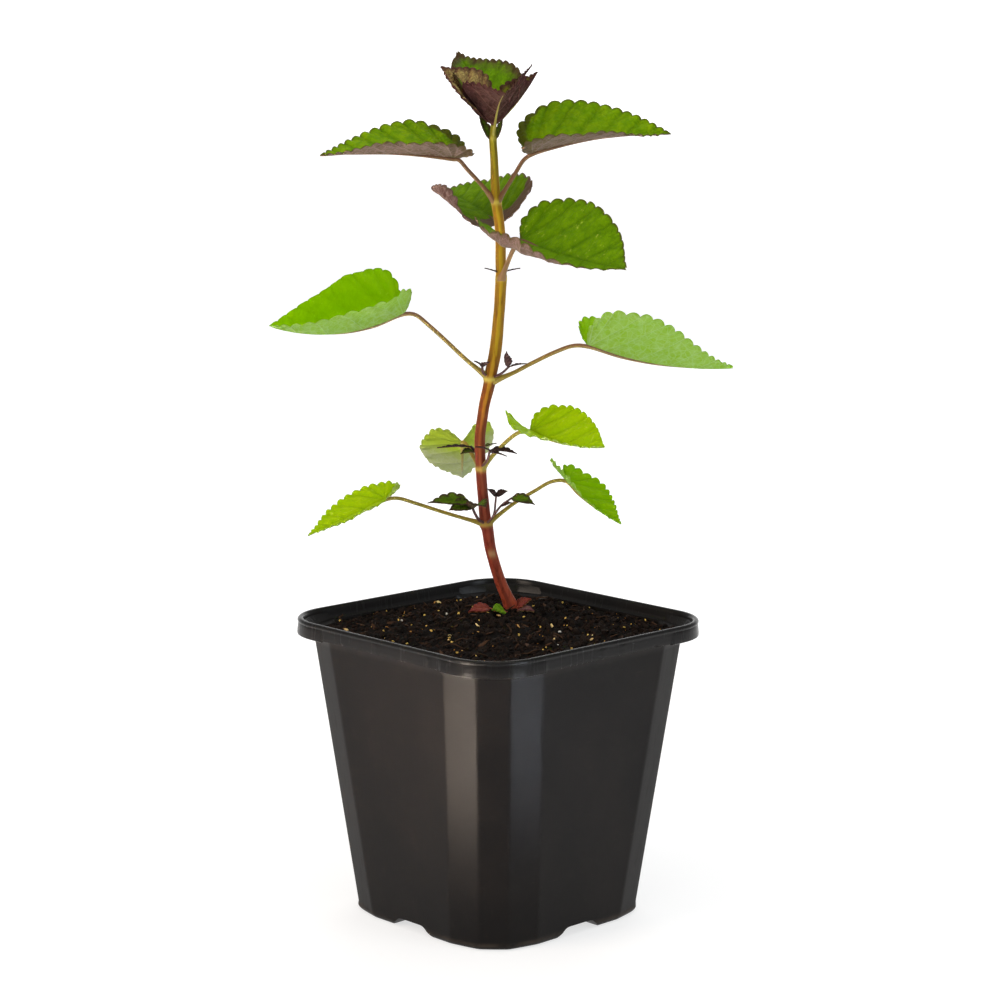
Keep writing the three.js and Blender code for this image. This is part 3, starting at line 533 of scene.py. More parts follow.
@dataclass(frozen=True)
class LeafFinish:
    """Both faces of a blade: quilted green above, with painted shade in the hollows along the veins, veined
    below, with a flush in from the margin.
    """

    name: str
    upper: Chip
    fresh: Chip
    deep: Chip
    under: Chip
    under_vein: Chip
    flush: Chip
    flush_width: float
    flush_above: float
    flush_below: float
    glow: Chip
    glow_share: float
    gloss: float = 0.36
    cell: float = 2.6
    net: float = 0.28
    base_flush: float = 0.0
    # How strong the painted glints are: small bright highlights painted on the upper face.
    painted_glints: float = 0.0
    # A painted glow: the underside near the stalk is tinted as if lit through from behind.
    lobe_glow_tint: Chip | None = None

    def make(self) -> Material:
        """Builds the material, which reads the marks that a blade carries.

        Returns:
            The material.
        """
        s = Shader(self.name)
        flat = s.pair(s.mark("flat_across"), s.mark("flat_along"))
        vein, edge, below = s.mark("vein"), s.mark("edge"), s.mark("below")
        blotch = s.noise(flat, 0.24, 5.0, 0.62)
        fine = s.noise(flat, 1.9, 3.0)
        bent = s.wire("ShaderNodeVectorMath", 0, {"operation": "ADD"}, {0: flat, 1: self.shift(s, flat)})
        net = s.cells(bent, 1 / self.cell)
        small_net = s.cells(bent, 2.4 / self.cell)
        on_net = 1 - s.between(net, 0.0, 0.1)
        on_small = 1 - s.between(small_net, 0.0, 0.13)
        on_vein = 1 - s.between(vein, 0.05, 0.42)
        # Painted shade: the upper face is painted darker in the hollows along the veins.
        vein_hollow_shade = 1 - s.between(vein, 0.0, 1.7)
        above = s.mix(s.between(blotch, 0.3, 0.72), self.upper, self.fresh)
        above = s.mix(vein_hollow_shade * 0.36 + on_net * self.net, above, self.deep)
        above = s.mix(s.between(fine, 0.45, 0.8) * 0.16, above, self.deep)
        back = s.mix(s.between(blotch, 0.35, 0.7) * 0.4, self.under, self.under_vein)
        back = s.mix(on_net * 0.5, back, self.under_vein)
        back = s.mix(on_small * 0.16 + s.between(fine, 0.5, 0.8) * 0.1, back, self.under_vein)
        back = s.mix(on_vein * 0.75, back, self.under_vein)
        # Painted glow: the underside's lobes near the stalk are tinted yellow-green, as with light coming
        # through them.
        if self.lobe_glow_tint:
            lobes = 1 - s.between(s.mark("flat_along") + (blotch - 0.5) * 9.0, 4.0, 18.0)
            back = s.mix(lobes * 0.85, back, self.lobe_glow_tint)
        near_stalk = 1 - s.between(s.mark("flat_along"), -2.0, 13.0)
        wander = edge + (blotch - 0.5) * (1.6 * self.flush_width) - near_stalk * self.base_flush
        wide = 1 - s.between(wander, 0.0, self.flush_width)
        line = 1 - s.between(edge, 0.05, 0.75)
        above = s.mix(s.maths("MAXIMUM", wide, line * 0.8) * self.flush_above, above, self.flush)
        back = s.mix(s.maths("MAXIMUM", wide, line * 0.5) * self.flush_below, back, self.flush)
        # Painted glints: bright yellow-green highlight specks, painted in patches on the upper face.
        if self.painted_glints:
            patch = s.between(s.noise(flat, 0.11, 2.0), 0.5, 0.6)
            painted_glint = s.between(s.noise(flat, 0.55, 4.0), 0.6, 0.65) * patch * self.painted_glints
            above = s.mix(painted_glint, above, (212, 232, 90))
        colour = s.mix(below, above, back)
        pillow = s.between(net, 0.0, 0.5) * 0.7 + s.between(small_net, 0.0, 0.5) * 0.25 + fine * 0.2
        facing = 1 - below * 2
        ridge = (1 - s.between(vein, 0.0, 0.7)) * (below * 1.2 - 0.4)
        normal = s.bump(pillow * facing + ridge, 0.5, 0.85)
        roughness = self.gloss + below * 0.26 + fine * 0.16
        further = {"Specular IOR Level": 0.12, "Specular Tint": (0.9, 1.0, 0.15, 1.0)}
        return s.dress(colour, roughness, normal, further, (self.glow_share, self.glow))

    @staticmethod
    def shift(s: Shader, flat: Wire) -> Wire:
        """How far the net of small veins strays from straight.

        Args:
            s: The finish's shader.
            flat: The place on the blade.

        Returns:
            The stray, as a vector.
        """
        stray = s.wire("ShaderNodeTexNoise", "Color", None, {"Vector": flat, "Scale": 0.35, "Detail": 2.0})
        middle = s.wire("ShaderNodeVectorMath", 0, {"operation": "SUBTRACT"}, {0: stray, 1: (0.5, 0.5, 0.5)})
        return s.stretch(middle, (2.2, 2.2, 0.0))


class LeafLook(Enum):
    """The kinds of leaf on the plant, from the lowest pairs to the growth at its foot."""

    LIME = LeafFinish(
        "lime_leaf", (158, 200, 8), (190, 220, 12), (122, 172, 6), (176, 196, 110),
        (206, 216, 168), (128, 160, 20), 0.8, 0.4, 0.25, (214, 234, 30), 0.46, 0.32, 3.0,
        painted_glints=0.7,
    )
    PALE = LeafFinish(
        "pale_backed_leaf", (150, 192, 10), (182, 210, 16), (116, 160, 8),
        (184, 196, 138), (212, 216, 190), (150, 156, 110), 0.9, 0.35, 0.3,
        (206, 214, 110), 0.36, 0.4, 3.0,
        lobe_glow_tint=(178, 206, 8),
    )
    FRESH = LeafFinish(
        "fresh_leaf", (134, 188, 6), (170, 210, 10), (92, 150, 4), (134, 160, 64),
        (206, 216, 172), (74, 108, 10), 0.8, 0.6, 0.2, (200, 236, 20), 0.54, 0.36, 2.8,
        painted_glints=0.6,
    )
    BACKED = LeafFinish(
        "purple_backed_leaf", (100, 148, 4), (140, 176, 6), (60, 106, 4), (86, 50, 56),
        (170, 146, 134), (74, 56, 28), 1.2, 0.8, 0.5, (176, 196, 10), 0.22, 0.28, 2.6,
        base_flush=3.0,
    )
    GLOSSY = replace(
        BACKED, name="glossy_leaf", upper=(86, 132, 2), fresh=(114, 158, 4), deep=(52, 94, 2),
        painted_glints=0.5, base_flush=0.0, gloss=0.42,
    )
    DUSKY = replace(
        BACKED, name="dusky_leaf", upper=(84, 124, 4), fresh=(112, 150, 6), deep=(54, 94, 4),
        flush=(104, 78, 74), flush_above=0.95, base_flush=9.0, glow_share=0.12, gloss=0.62,
    )
    YOUNG = LeafFinish(
        "young_leaf", (92, 104, 20), (120, 130, 26), (70, 48, 34), (44, 20, 26),
        (108, 76, 74), (70, 36, 42), 4.6, 0.95, 0.7, (130, 80, 36), 0.08, 0.42, 1.9,
    )
    YOUNG_GREEN = LeafFinish(
        "young_green_leaf", (96, 144, 10), (128, 176, 16), (66, 104, 12), (94, 58, 58),
        (136, 104, 92), (80, 40, 48), 6.0, 0.96, 0.7, (150, 190, 20), 0.24, 0.4, 2.2,
    )
    YOUNG_NET = LeafFinish(
        "young_netted_leaf", (184, 156, 96), (206, 186, 112), (112, 70, 66),
        (94, 56, 58), (140, 108, 96), (86, 46, 52), 2.4, 0.9, 0.7, (160, 130, 60), 0.2,
        0.4, 1.5, net=0.75,
    )
    DARK = LeafFinish(
        "dark_shoot_leaf", (54, 40, 42), (76, 54, 56), (34, 24, 28), (66, 46, 52),
        (96, 74, 76), (44, 26, 34), 1.4, 0.8, 0.5, (90, 50, 40), 0.1, 0.42, 1.2,
    )
    MIXED = LeafFinish(
        "green_shoot_leaf", (78, 112, 20), (110, 142, 30), (52, 72, 18), (84, 66, 60),
        (120, 110, 80), (66, 38, 44), 1.8, 0.9, 0.6, (120, 130, 30), 0.18, 0.4, 1.3,
    )
    FOOT_GREEN = LeafFinish(
        "foot_leaf_green", (116, 168, 34), (150, 196, 50), (88, 136, 24), (110, 150, 44),
        (150, 180, 80), (120, 150, 40), 0.8, 0.3, 0.3, (170, 210, 40), 0.25, 0.34, 1.6,
    )
    FOOT_RED = LeafFinish(
        "foot_leaf_red", (150, 74, 66), (170, 92, 76), (110, 46, 46), (120, 96, 46),
        (150, 130, 70), (124, 48, 52), 1.6, 0.7, 0.4, (190, 100, 60), 0.2, 0.36, 1.6,
    )
    FOOT_PURPLE = LeafFinish(
        "foot_leaf_purple", (112, 78, 84), (150, 110, 104), (78, 46, 56), (96, 84, 50),
        (140, 130, 80), (92, 48, 60), 1.6, 0.7, 0.4, (150, 110, 60), 0.2, 0.36, 1.6,
    )


@dataclass(frozen=True)
class StalkFinish:
    """A leaf's or a shoot's stalk, with its colours at the stem, halfway, at the blade and below."""

    name: str
    root: Chip
    middle: Chip
    blade: Chip
    belly: Chip

    def make(self) -> Material:
        """Builds the material, which reads how far along and how far up a stalk a point is.

        Returns:
            The material.
        """
        s = Shader(self.name)
        place = s.place()
        streak = s.noise(s.stretch(place, (1400.0, 1400.0, 260.0)), 1.0, 3.0)
        grain = s.noise(place, 2600.0, 2.0)
        stops = [(0.0, self.root), (0.38, self.middle), (0.78, self.blade), (1.0, self.blade)]
        colour = s.ramp(s.mark("along"), stops)
        colour = s.mix((1 - s.between(s.mark("top"), -0.7, 0.35)) * 0.6, colour, self.belly)
        colour = s.mix(s.between(streak, 0.42, 0.7) * 0.3, colour, self.belly)
        colour = s.mix(s.between(grain, 0.5, 0.8) * 0.18, colour, self.blade)
        normal = s.bump(streak * 0.7 + grain * 0.3, 0.12, 0.7)
        further = {"Specular IOR Level": 0.25}
        return s.dress(colour, 0.42 + grain * 0.14, normal, further, (0.12, self.belly))


class StalkLook(Enum):
    """The kinds of stalk."""

    PINK = StalkFinish("pink_stalk", (150, 128, 40), (132, 92, 62), (140, 96, 96), (176, 160, 84))
    OLIVE = StalkFinish("olive_stalk", (150, 124, 40), (148, 128, 44), (158, 132, 70), (178, 172, 86))
    BROWN = StalkFinish("brown_stalk", (112, 70, 40), (118, 82, 60), (106, 70, 64), (140, 114, 74))
    DARK = StalkFinish("dark_stalk", (92, 54, 54), (74, 44, 50), (62, 38, 46), (110, 78, 72))
    RED = StalkFinish("red_stalk", (140, 58, 52), (160, 74, 60), (170, 90, 66), (176, 110, 76))


class Wardrobe:
    """Makes each finish once, however many pieces wear it."""

    def __init__(self) -> None:
        """Starts with nothing made."""
        self.made: dict[Enum, Material] = {}

    def get(self, look: Enum) -> Material:
        """The material of a look.

        Args:
            look: The look to wear.

        Returns:
            Its material, made when first asked for.
        """
        if look not in self.made:
            self.made[look] = look.value.make()
        return self.made[look]


# Leaves

# Half of a blade's outline, from its stalk to its tip: along the midrib, and out from it, both as shares.
# Where the first share is below nought it counts in the depth of the lobe behind the stalk.
GROWN_OUTLINE = (
    (0, 0.03), (-0.5, 0.14), (-0.95, 0.36), (-0.75, 0.64), (0.03, 0.86), (0.16, 0.97), (0.31, 1),
    (0.47, 0.91), (0.62, 0.735), (0.75, 0.53), (0.86, 0.3), (0.94, 0.125), (1, 0.012),
)
YOUNG_OUTLINE = (
    (0, 0.05), (0.02, 0.13), (0.06, 0.33), (0.115, 0.58), (0.18, 0.8), (0.27, 0.95), (0.38, 1), (0.51, 0.92),
    (0.645, 0.71), (0.765, 0.44), (0.865, 0.2), (0.94, 0.075), (1, 0.012),
)


@dataclass(frozen=True)
class Midrib:
    """Places along a midrib, and the directions there."""

    at: Array
    left: Array
    above: Array


@dataclass(frozen=True)
class Margin:
    """Half of a blade's toothed margin, as rows from the stalk to the tip."""

    along: Array
    out: Array
    phase: Array
    teeth: int


@dataclass(frozen=True)
class LeafForm:
    """One leaf's place and shape.

    The tip points to heading, in degrees from the plant's x. pitch is the first slope and droop what it
    loses by the tip. length is the blade's, and half is its greatest half width. fold lifts both halves, and
    curl bends the left and the right half up further out, the later the higher late is. roll turns the blade
    about its midrib, by twist more at the tip. lobe is how deep the lobes behind the stalk are, wide moves
    the widest place towards the tip, tooth is how wide a tooth is, rib is the share of the blade that the
    stalk runs on below as its midrib, and raised lifts the lobe behind the stalk on the left and the right.
    """

    name: str
    base: Point
    heading: float
    pitch: float
    droop: float
    length: float
    half: float
    roll: float
    twist: float
    fold: float
    curl: tuple[float, float]
    lobe: float
    wide: float
    tooth: float
    look: LeafLook
    stalk: Sequence[Point] = ()
    stalk_look: StalkLook = StalkLook.OLIVE
    rib: float = 0.8
    thickness: float = 0.42
    quilt: float = 0.6
    late: tuple[float, float] = (1, 1)
    raised: tuple[float, float] = (0, 0)

    RIB_STEPS = 16
    HALF_STEPS = 20
    OUTLINE_POINTS = 721
    LOBE_FRONT = 0.16
    LOBE_SPAN = 0.28
    TOOTH_ROWS = 10
    COLUMNS = 17
    RIB_ROUNDING = 1.3
    FORK_POINTS = 14
    FORK_FAINTNESS = 0.35

    @property
    def young(self) -> bool:
        """Whether the leaf is of the tip or of a shoot, with no lobes behind its stalk."""
        return self.lobe <= 0

    @property
    def stout(self) -> float:
        """The stalk's radius."""
        return 0.62 if self.young else min(1.05, 0.72 + self.length / 180)

    def midrib(self, share: Array) -> Midrib:
        """The midrib at shares of its length.

        Args:
            share: Shares, which may lie a little outside 0 to 1.

        Returns:
            Places and directions, one for each share.
        """
        within = np.clip(share, 0, 1)
        heading = math.radians(self.heading)
        forward = np.array([math.cos(heading), math.sin(heading), 0])
        side = np.array([-math.sin(heading), math.cos(heading), 0])
        up = np.array([0, 0, 1.0])
        parts = (np.arange(self.RIB_STEPS) + 0.5) / self.RIB_STEPS
        slopes = np.radians(self.pitch - self.droop * within[..., None] * parts)
        step = self.length * within / self.RIB_STEPS
        slope = np.radians(self.pitch - self.droop * within)[..., None]
        along = forward * np.cos(slope) + up * np.sin(slope)
        above = up * np.cos(slope) - forward * np.sin(slope)
        at = np.array(self.base) + forward * (step * np.cos(slopes).sum(-1))[..., None]
        at = at + up * (step * np.sin(slopes).sum(-1))[..., None]
        at = at + along * (np.minimum(share, 0) * self.length)[..., None]
        turn = np.radians(self.roll + self.twist * within)[..., None]
        left = side * np.cos(turn) + above * np.sin(turn)
        return Midrib(at, left, above * np.cos(turn) - side * np.sin(turn))

    def surface(self, along: Array, out: Array, hand: int) -> tuple[Array, Array]:
        """Points of the blade and their normals.

        Args:
            along: Shares along the midrib.
            out: Shares of the greatest half width.
            hand: 1 on the left half and -1 on the right.

        Returns:
            The points and the normals.
        """
        rib = self.midrib(along)
        curl, late, raised = (pair[0 if hand > 0 else 1] for pair in (self.curl, self.late, self.raised))
        parts = (np.arange(self.HALF_STEPS) + 0.5) / self.HALF_STEPS
        gone = out[..., None] * parts
        rounding = 1 - np.exp(-gone * self.half / self.RIB_ROUNDING)
        angles = np.radians(self.fold * rounding + curl * gone**late)
        reach = out * self.half / self.HALF_STEPS
        lobe = np.clip((self.LOBE_FRONT - along) / self.LOBE_SPAN, 0, 1)
        point = rib.at + rib.left * (hand * reach * np.cos(angles).sum(-1))[..., None]
        point = point + rib.above * (reach * np.sin(angles).sum(-1) + raised * out * lobe**2)[..., None]
        last = self.fold * (1 - np.exp(-out * self.half / self.RIB_ROUNDING)) + curl * out**late
        last = np.radians(last)[..., None]
        return point, unit(rib.above * np.cos(last) - rib.left * hand * np.sin(last))

    def margin(self) -> Margin:
        """The margin, with rounded teeth that narrow towards the stalk and the tip.

        Returns:
            The margin's rows, evenly spaced within each tooth.
        """
        outline = np.array(YOUNG_OUTLINE if self.young else GROWN_OUTLINE)
        if not self.young:
            outline[1:4, 0] *= self.lobe
        outline[4:12, 0] += self.wide * np.sin(np.pi * outline[4:12, 0])
        padded = np.vstack([2 * outline[0] - outline[1], outline, 2 * outline[-1] - outline[-2]])
        places = np.linspace(0, len(outline) - 1, self.OUTLINE_POINTS)
        start = np.minimum(places.astype(int), len(outline) - 2)
        u = (places - start)[:, None]
        a, b, c, d = (padded[start + k] for k in range(4))
        cubic = 3 * b - a - 3 * c + d
        fine = 0.5 * (2 * b + (c - a) * u + (2 * a - 5 * b + 4 * c - d) * u**2 + cubic * u**3)
        flat = fine * [self.length, self.half]
        steps = np.linalg.norm(np.diff(flat, axis=0), axis=1)
        pitch = self.tooth * (0.5 + 0.5 * np.clip(fine[1:, 1], 0, 1) ** 0.8)
        phase = np.concatenate([[0], np.cumsum(steps / pitch)])
        teeth = max(3, round(phase[-1]))
        phase *= teeth / phase[-1]
        passed = travelled(flat)
        want = np.linspace(0, teeth, teeth * self.TOOTH_ROWS + 1)
        rows = read_off(want, phase, flat)
        gone = np.interp(want, phase, passed)
        ahead = unit(np.gradient(rows, axis=0))
        outward = np.stack([-ahead[:, 1], ahead[:, 0]], axis=1)
        wave = np.abs(np.sin(np.pi * (want % 1.0) ** 1.12)) ** 0.58
        depth = 0.19 * self.tooth * (0.45 + 0.55 * np.interp(want, phase, fine[:, 1]))
        quiet = eased(gone, 0.06 * self.length, 0.16 * self.length) * eased(passed[-1] - gone, 0.5, 3.5)
        rows += outward * ((wave - 0.55) * depth * quiet)[:, None]
        return Margin(rows[:, 0] / self.length, np.maximum(rows[:, 1] / self.half, 0.01), want, teeth)

    def grid(self, margin: Margin) -> tuple[Array, Array]:
        """Where the rows of a half cross its columns, as shares along and out.

        Args:
            margin: The margin that each row ends on.

        Returns:
            Shares along the midrib and shares of the half width, row by row.
        """
        lean = margin.along - 0.72 * margin.out * self.half / self.length
        start = 0.5 * (lean + np.sqrt(lean**2 + 0.002)) - 0.02
        rows = len(lean)
        start = np.maximum.accumulate(np.maximum(start, 0.03 * np.arange(rows) / rows))
        start = np.minimum(start, 0.996)
        even = np.linspace(0, 1, self.COLUMNS)
        share = 0.6 * (1 - np.cos(np.pi * even)) / 2 + 0.4 * even
        along = start[:, None] + (margin.along - start)[:, None] * share[None, :] ** 1.12
        return along, margin.out[:, None] * share[None, :]

    def veins(self, flat: Array, teeth: int) -> Array:
        """How far each point of a half is from the nearest vein.

        Args:
            flat: The half's grid as flat places.
            teeth: How many teeth the margin has.

        Returns:
            Distances, where a side vein counts as further than a main one.
        """
        rows, columns, _ = flat.shape
        every = 2 if teeth > 8 else 1
        mains, forks = [flat[:, 0]], []
        for tooth in range(1, teeth - 1, every):
            row = tooth * self.TOOTH_ROWS
            mains.append(flat[row])
            if every == 2 and tooth + 1 < teeth - 1:
                part = np.linspace(0, 1, self.FORK_POINTS)
                place = np.clip((row + part * self.TOOTH_ROWS).round().astype(int), 0, rows - 1)
                column = ((0.45 + 0.55 * part) * (columns - 1)).round().astype(int)
                forks.append(flat[place, column])
        points = flat.reshape(-1, 2)
        away = nearest(points, self.thickened(mains))
        if forks:
            away = np.minimum(away, nearest(points, self.thickened(forks)) + self.FORK_FAINTNESS)
        return away.reshape(rows, columns)

    @staticmethod
    def thickened(lines: Sequence[Array]) -> Array:
        """Lines of points with more points between.

        Args:
            lines: The lines.

        Returns:
            The points of all the lines.
        """
        out = []
        for line in lines:
            place = np.linspace(0, len(line) - 1, 5 * len(line))
            out.append(read_off(place, np.arange(len(line)), line))
        return np.vstack(out)

    def draw_blade(self, draft: Draft) -> None:
        """Adds the blade to a draft as one thin closed sheet.

        Args:
            draft: The draft that it joins.
        """
        margin = self.margin()
        along, out = self.grid(margin)
        flat = np.stack([along * self.length, out * self.half], axis=-1)
        vein = self.veins(flat, margin.teeth)
        edge = nearest(flat.reshape(-1, 2), self.thickened([flat[:, -1]])).reshape(vein.shape)
        share = (np.arange(self.COLUMNS) / (self.COLUMNS - 1))[None, :]
        seed = sum(ord(letter) for letter in self.name)
        swell = self.quilt * (1 - hump(vein, 0.32 * self.tooth) - 0.55)
        swell -= 0.28 * self.quilt * hump(flat[..., 1], 0.9)
        scallop = np.abs(np.sin(np.pi * margin.phase)) ** 0.7 - 0.6
        swell += 0.75 * self.quilt * scallop[:, None] * eased(share, 0.55, 0.95)
        halves = {}
        for hand in (1, -1):
            ripple = np.sin(2 * math.pi * (along * 1.9 + 0.37 * seed + 0.25 * hand)) + 0.6 * np.sin(
                2 * math.pi * (along * 3.7 + out * 0.8 + 0.61 * seed)
            )
            lift = swell + 0.018 * self.half * ripple * share**2
            points, normals = self.surface(along, out, hand)
            half_thick = 0.5 * self.thickness * (1 - 0.45 * share**6)
            halves[hand] = (points, normals, lift, half_thick * np.ones_like(lift))
        joined = [np.concatenate([halves[1][k][:, :0:-1], halves[-1][k]], axis=1) for k in range(4)]
        points, normals, lift, half_thick = joined
        rows, columns = lift.shape
        upper = points + normals * (lift + half_thick)[..., None]
        lower = points + normals * (lift - half_thick)[..., None]
        count = rows * columns
        faces = list(grid_faces(rows, columns)) + list(grid_faces(rows, columns, count, flip=True))
        rim = [i * columns for i in range(rows)] + [(rows - 1) * columns + j for j in range(1, columns)]
        rim += [i * columns + columns - 1 for i in range(rows - 2, -1, -1)] + list(range(columns - 2, 0, -1))
        for a, b in zip(rim, rim[1:] + rim[:1]):
            faces.append((a, b, b + count, a + count))

        def both(values: Array) -> Array:
            """The same values on both halves and both faces."""
            wide = np.concatenate([values[:, :0:-1], values], axis=1).ravel()
            return np.concatenate([wide, wide])

        hands = np.concatenate([np.ones(self.COLUMNS - 1), -np.ones(self.COLUMNS)])
        across = both(flat[..., 1]) * np.tile(np.tile(hands, rows), 2) + 60.0 * (seed % 17)
        draft.add(
            np.vstack([upper.reshape(-1, 3), lower.reshape(-1, 3)]),
            faces,
            0,
            vein=both(vein),
            edge=both(edge),
            flat_across=across,
            flat_along=both(flat[..., 0]),
            below=np.repeat([0.0, 1.0], count),
        )

    def draw_stalk(self, draft: Draft) -> None:
        """Adds the stalk, which runs on below the blade as its midrib.

        Args:
            draft: The draft that it joins.
        """
        through = [tuple(p) for p in self.stalk]
        radii = [(1.2 if i == 0 else 0.88) * self.stout for i in range(len(through))]
        for share in (0.0, 0.3 * self.rib, 0.6 * self.rib, self.rib):
            rib = self.midrib(np.array([share]))
            faded = 1 - share / self.rib
            radii.append((0.16 + 0.74 * faded**1.5) * self.stout)
            drop = 0.5 + 0.82 * radii[-1]
            through.append(tuple((rib.at - rib.above * drop)[0]))

        def section(angle: Array) -> Array:
            """Round, with a channel along the top."""
            return 1 - 0.2 * hump(np.angle(np.exp(1j * angle)), 0.45) + 0.04 * np.cos(3 * angle)

        def flare(share: Array, angle: Array) -> Array:
            """Wider where the stalk clasps the stem."""
            return 1 + 0.55 * hump(share, 0.05) + 0 * angle

        Rod(through, radii, sides=16, rings=90, section=section, finish=1).draw(draft, flare)

    def build(self, wardrobe: Wardrobe) -> None:
        """Builds the leaf with its stalk and dresses it.

        Args:
            wardrobe: Where its materials come from.
        """
        draft = Draft()
        self.draw_blade(draft)
        self.draw_stalk(draft)
        materials = [wardrobe.get(self.look), wardrobe.get(self.stalk_look)]
        made = draft.piece(f"grown_{self.name}", materials, PLANT_TURN)
        stand_for(made, self.name, "young_leaf" if self.young else "leaf")


def stand_for(made: Piece, node: str, slot: str) -> None:
    """Lets a piece ride on the body in place of a node.

    Args:
        made: The piece.
        node: The node that it stands for.
        slot: Not used.
    """
    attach(made, BODY)
    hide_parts(node)
    LOG.info("%s: %d faces", made.name, len(made.data.polygons))


# Each leaf gives its fields in order: name, base, heading, pitch, droop, length, half, roll, twist, fold,
# curl, lobe, wide, tooth, look, the points that its stalk passes, and the stalk's look.
LEAVES = (
    LeafForm(
        "leaf_1_left", (-46.2, 10, 171.8), 197, -26, -6, 36, 13, -8, 0, 16, (6, 2), 0.19, 0, 4.1,
        LeafLook.LIME,
        ((-5.2, 13, 160), (-15.7, 12.5, 163), (-24, 12, 165.6), (-34.2, 11, 169.1), (-41.2, 10.4, 171.2)),
        raised=(6, 0),
    ),
    LeafForm(
        "leaf_1_right", (28.3, 8, 179.8), -49, -34, -22, 35.5, 13.4, -18, 15, 20, (8, 18), 0.25, -0.11, 4.6,
        LeafLook.FRESH, ((-5, 13, 159.6), (6.1, 11.5, 168.7), (15.2, 10, 174.6), (22.1, 8.8, 178.6)),
    ),
    LeafForm(
        "leaf_2_front", (12.6, -4, 202.4), -48, -14.5, -23, 44, 16.6, 13, 0, 26, (12, 6), 0.09, 0.02, 5.0,
        LeafLook.LIME, ((-6.9, 10, 183.6), (-0.5, 4.5, 191.9), (6, 0, 198.7), (9.6, -2.5, 201)),
        raised=(0, 13),
    ),
    LeafForm(
        "leaf_2_back", (-15.1, 26, 193.1), 91, -47, -36, 45, 18, -14, 7, 28, (1, 9), 0.13, 0.04, 5.0,
        LeafLook.PALE, ((-7.1, 10, 183.6), (-10.6, 17, 188.2), (-13.2, 22, 191.7)),
    ),
    LeafForm(
        "leaf_3_left", (-38.6, 1.2, 249.2), 205, -25, -44, 58.5, 24.5, -13, -16, 65, (-30, 40), 0.06, 0.03,
        7.2, LeafLook.FRESH,
        ((-3.2, 8, 221), (-12.8, 6.3, 228.9), (-20.5, 4.9, 236.3), (-27.7, 3.6, 243), (-33.7, 2.6, 247.8)),
        StalkLook.PINK,
    ),
    LeafForm(
        "leaf_3_right", (36.4, 9.6, 235.5), 10, -22, -24, 62.5, 27, -1, 3, 41, (-30, 10), 0.06, -0.03, 6.6,
        LeafLook.FRESH,
        ((-3.2, 8, 219.8), (6, 8.4, 223.5), (12.9, 8.7, 227.1), (23.1, 9.2, 232), (30.4, 9.6, 234.5)),
        StalkLook.PINK,
    ),
    LeafForm(
        "leaf_4_front", (8.2, -10.2, 279.6), -52, -11, -10, 66, 24.5, 22, 2, 16, (26, 92), 0.12, 0.05, 7.2,
        LeafLook.GLOSSY, ((0.9, 6, 261.5), (3.2, -1.5, 268.2), (6, -7, 275.2)), StalkLook.BROWN,
        late=(1, 2.6), raised=(0, 17),
    ),
    LeafForm(
        "leaf_4_back", (-0.7, 24, 283.7), 114, 16, 14, 63.5, 23.2, -21, 16, 21, (104, 6), 0.1, -0.1, 6.0,
        LeafLook.DUSKY, ((0.9, 6, 261.5), (0.1, 14, 268.2), (-0.3, 20, 276.7)), StalkLook.BROWN,
        late=(2.4, 1), raised=(0, 7),
    ),
    LeafForm(
        "leaf_5_left", (-18.1, 4, 311.4), 194, 7, 12, 54.5, 20.5, -7, 1, 24, (-3, 14), 0.11, -0.05, 5.5,
        LeafLook.BACKED, ((-1.3, 5, 293.2), (-7.6, 4.5, 300.7), (-12.4, 4.2, 305.9), (-16.2, 4, 310)),
        StalkLook.BROWN,
    ),
    LeafForm(
        "leaf_5_right", (12.8, 6, 313.2), 1, 17, 19, 57, 22, 14, 15, 31, (0, 0), 0.06, -0.09, 5.5,
        LeafLook.BACKED, ((-1.1, 5, 292.6), (3.7, 5.2, 299.9), (6.9, 5.5, 305.1), (10.1, 5.8, 310)),
        StalkLook.BROWN,
    ),
    LeafForm(
        "leaf_6_front", (-1.9, 3, 324.2), -81, 46, 42, 32.5, 16.5, 4, 2, 36, (12, 8), 0, 0.02, 3.9,
        LeafLook.YOUNG, ((-2.4, 5, 317.8), (-2.1, 3.6, 321)),
    ),
    LeafForm(
        "leaf_6_back", (-1.8, 8.6, 324.9), 120, 46, 8, 41.5, 18.5, -3, 6, 31, (8, 23), 0, 0.01, 3.9,
        LeafLook.YOUNG_GREEN, ((-2.4, 5, 317.8), (-2.2, 7.2, 321.5)),
    ),
    LeafForm(
        "leaf_7_left", (-3.8, 6, 326.2), 184, 42, -11, 28.5, 12.5, -36, -4, 30, (6, 10), 0, 0.1, 3.5,
        LeafLook.YOUNG_NET, ((-2.1, 5.5, 324.8),),
    ),
    LeafForm(
        "leaf_7_right", (-0.4, 6, 326.2), 5, 39, -24, 24.5, 10, 13, 1, 39, (12, 6), 0, 0.07, 3.5,
        LeafLook.YOUNG, ((-2.1, 5.5, 324.8),),
    ),
    LeafForm(
        "leaf_8", (-0.7, 7.3, 330.6), 14, 49, -4, 22.5, 2, 0, 0, 44, (4, 4), 0, 0, 1.0,
        LeafLook.YOUNG, ((-1.9, 5.9, 327.2),),
    ),
)


# Shoots


@dataclass(frozen=True)
class SmallLeaf:
    """A small leaf from its base to its tip, with a half width, a fold, a roll and a droop."""

    base: Point
    tip: Point
    half: float
    fold: float
    roll: float
    droop: float
    look: LeafLook = LeafLook.DARK

    def form(self, name: str, thickness: float) -> LeafForm:
        """The leaf in full.

        Args:
            name: Its name.
            thickness: How thick the blade is.

        Returns:
            The leaf's form.
        """
        way = Vector(self.tip) - Vector(self.base)
        length = way.length
        heading = math.degrees(math.atan2(way.y, way.x))
        slope = math.degrees(math.asin(way.z / length))
        return LeafForm(
            name, self.base, heading, slope + self.droop / 2, self.droop, length, self.half, self.roll,
            twist=0, fold=self.fold, curl=(8, 8), lobe=0, wide=0, tooth=max(1.3, 0.24 * length),
            look=self.look, thickness=thickness, quilt=0.05 * self.half,
        )


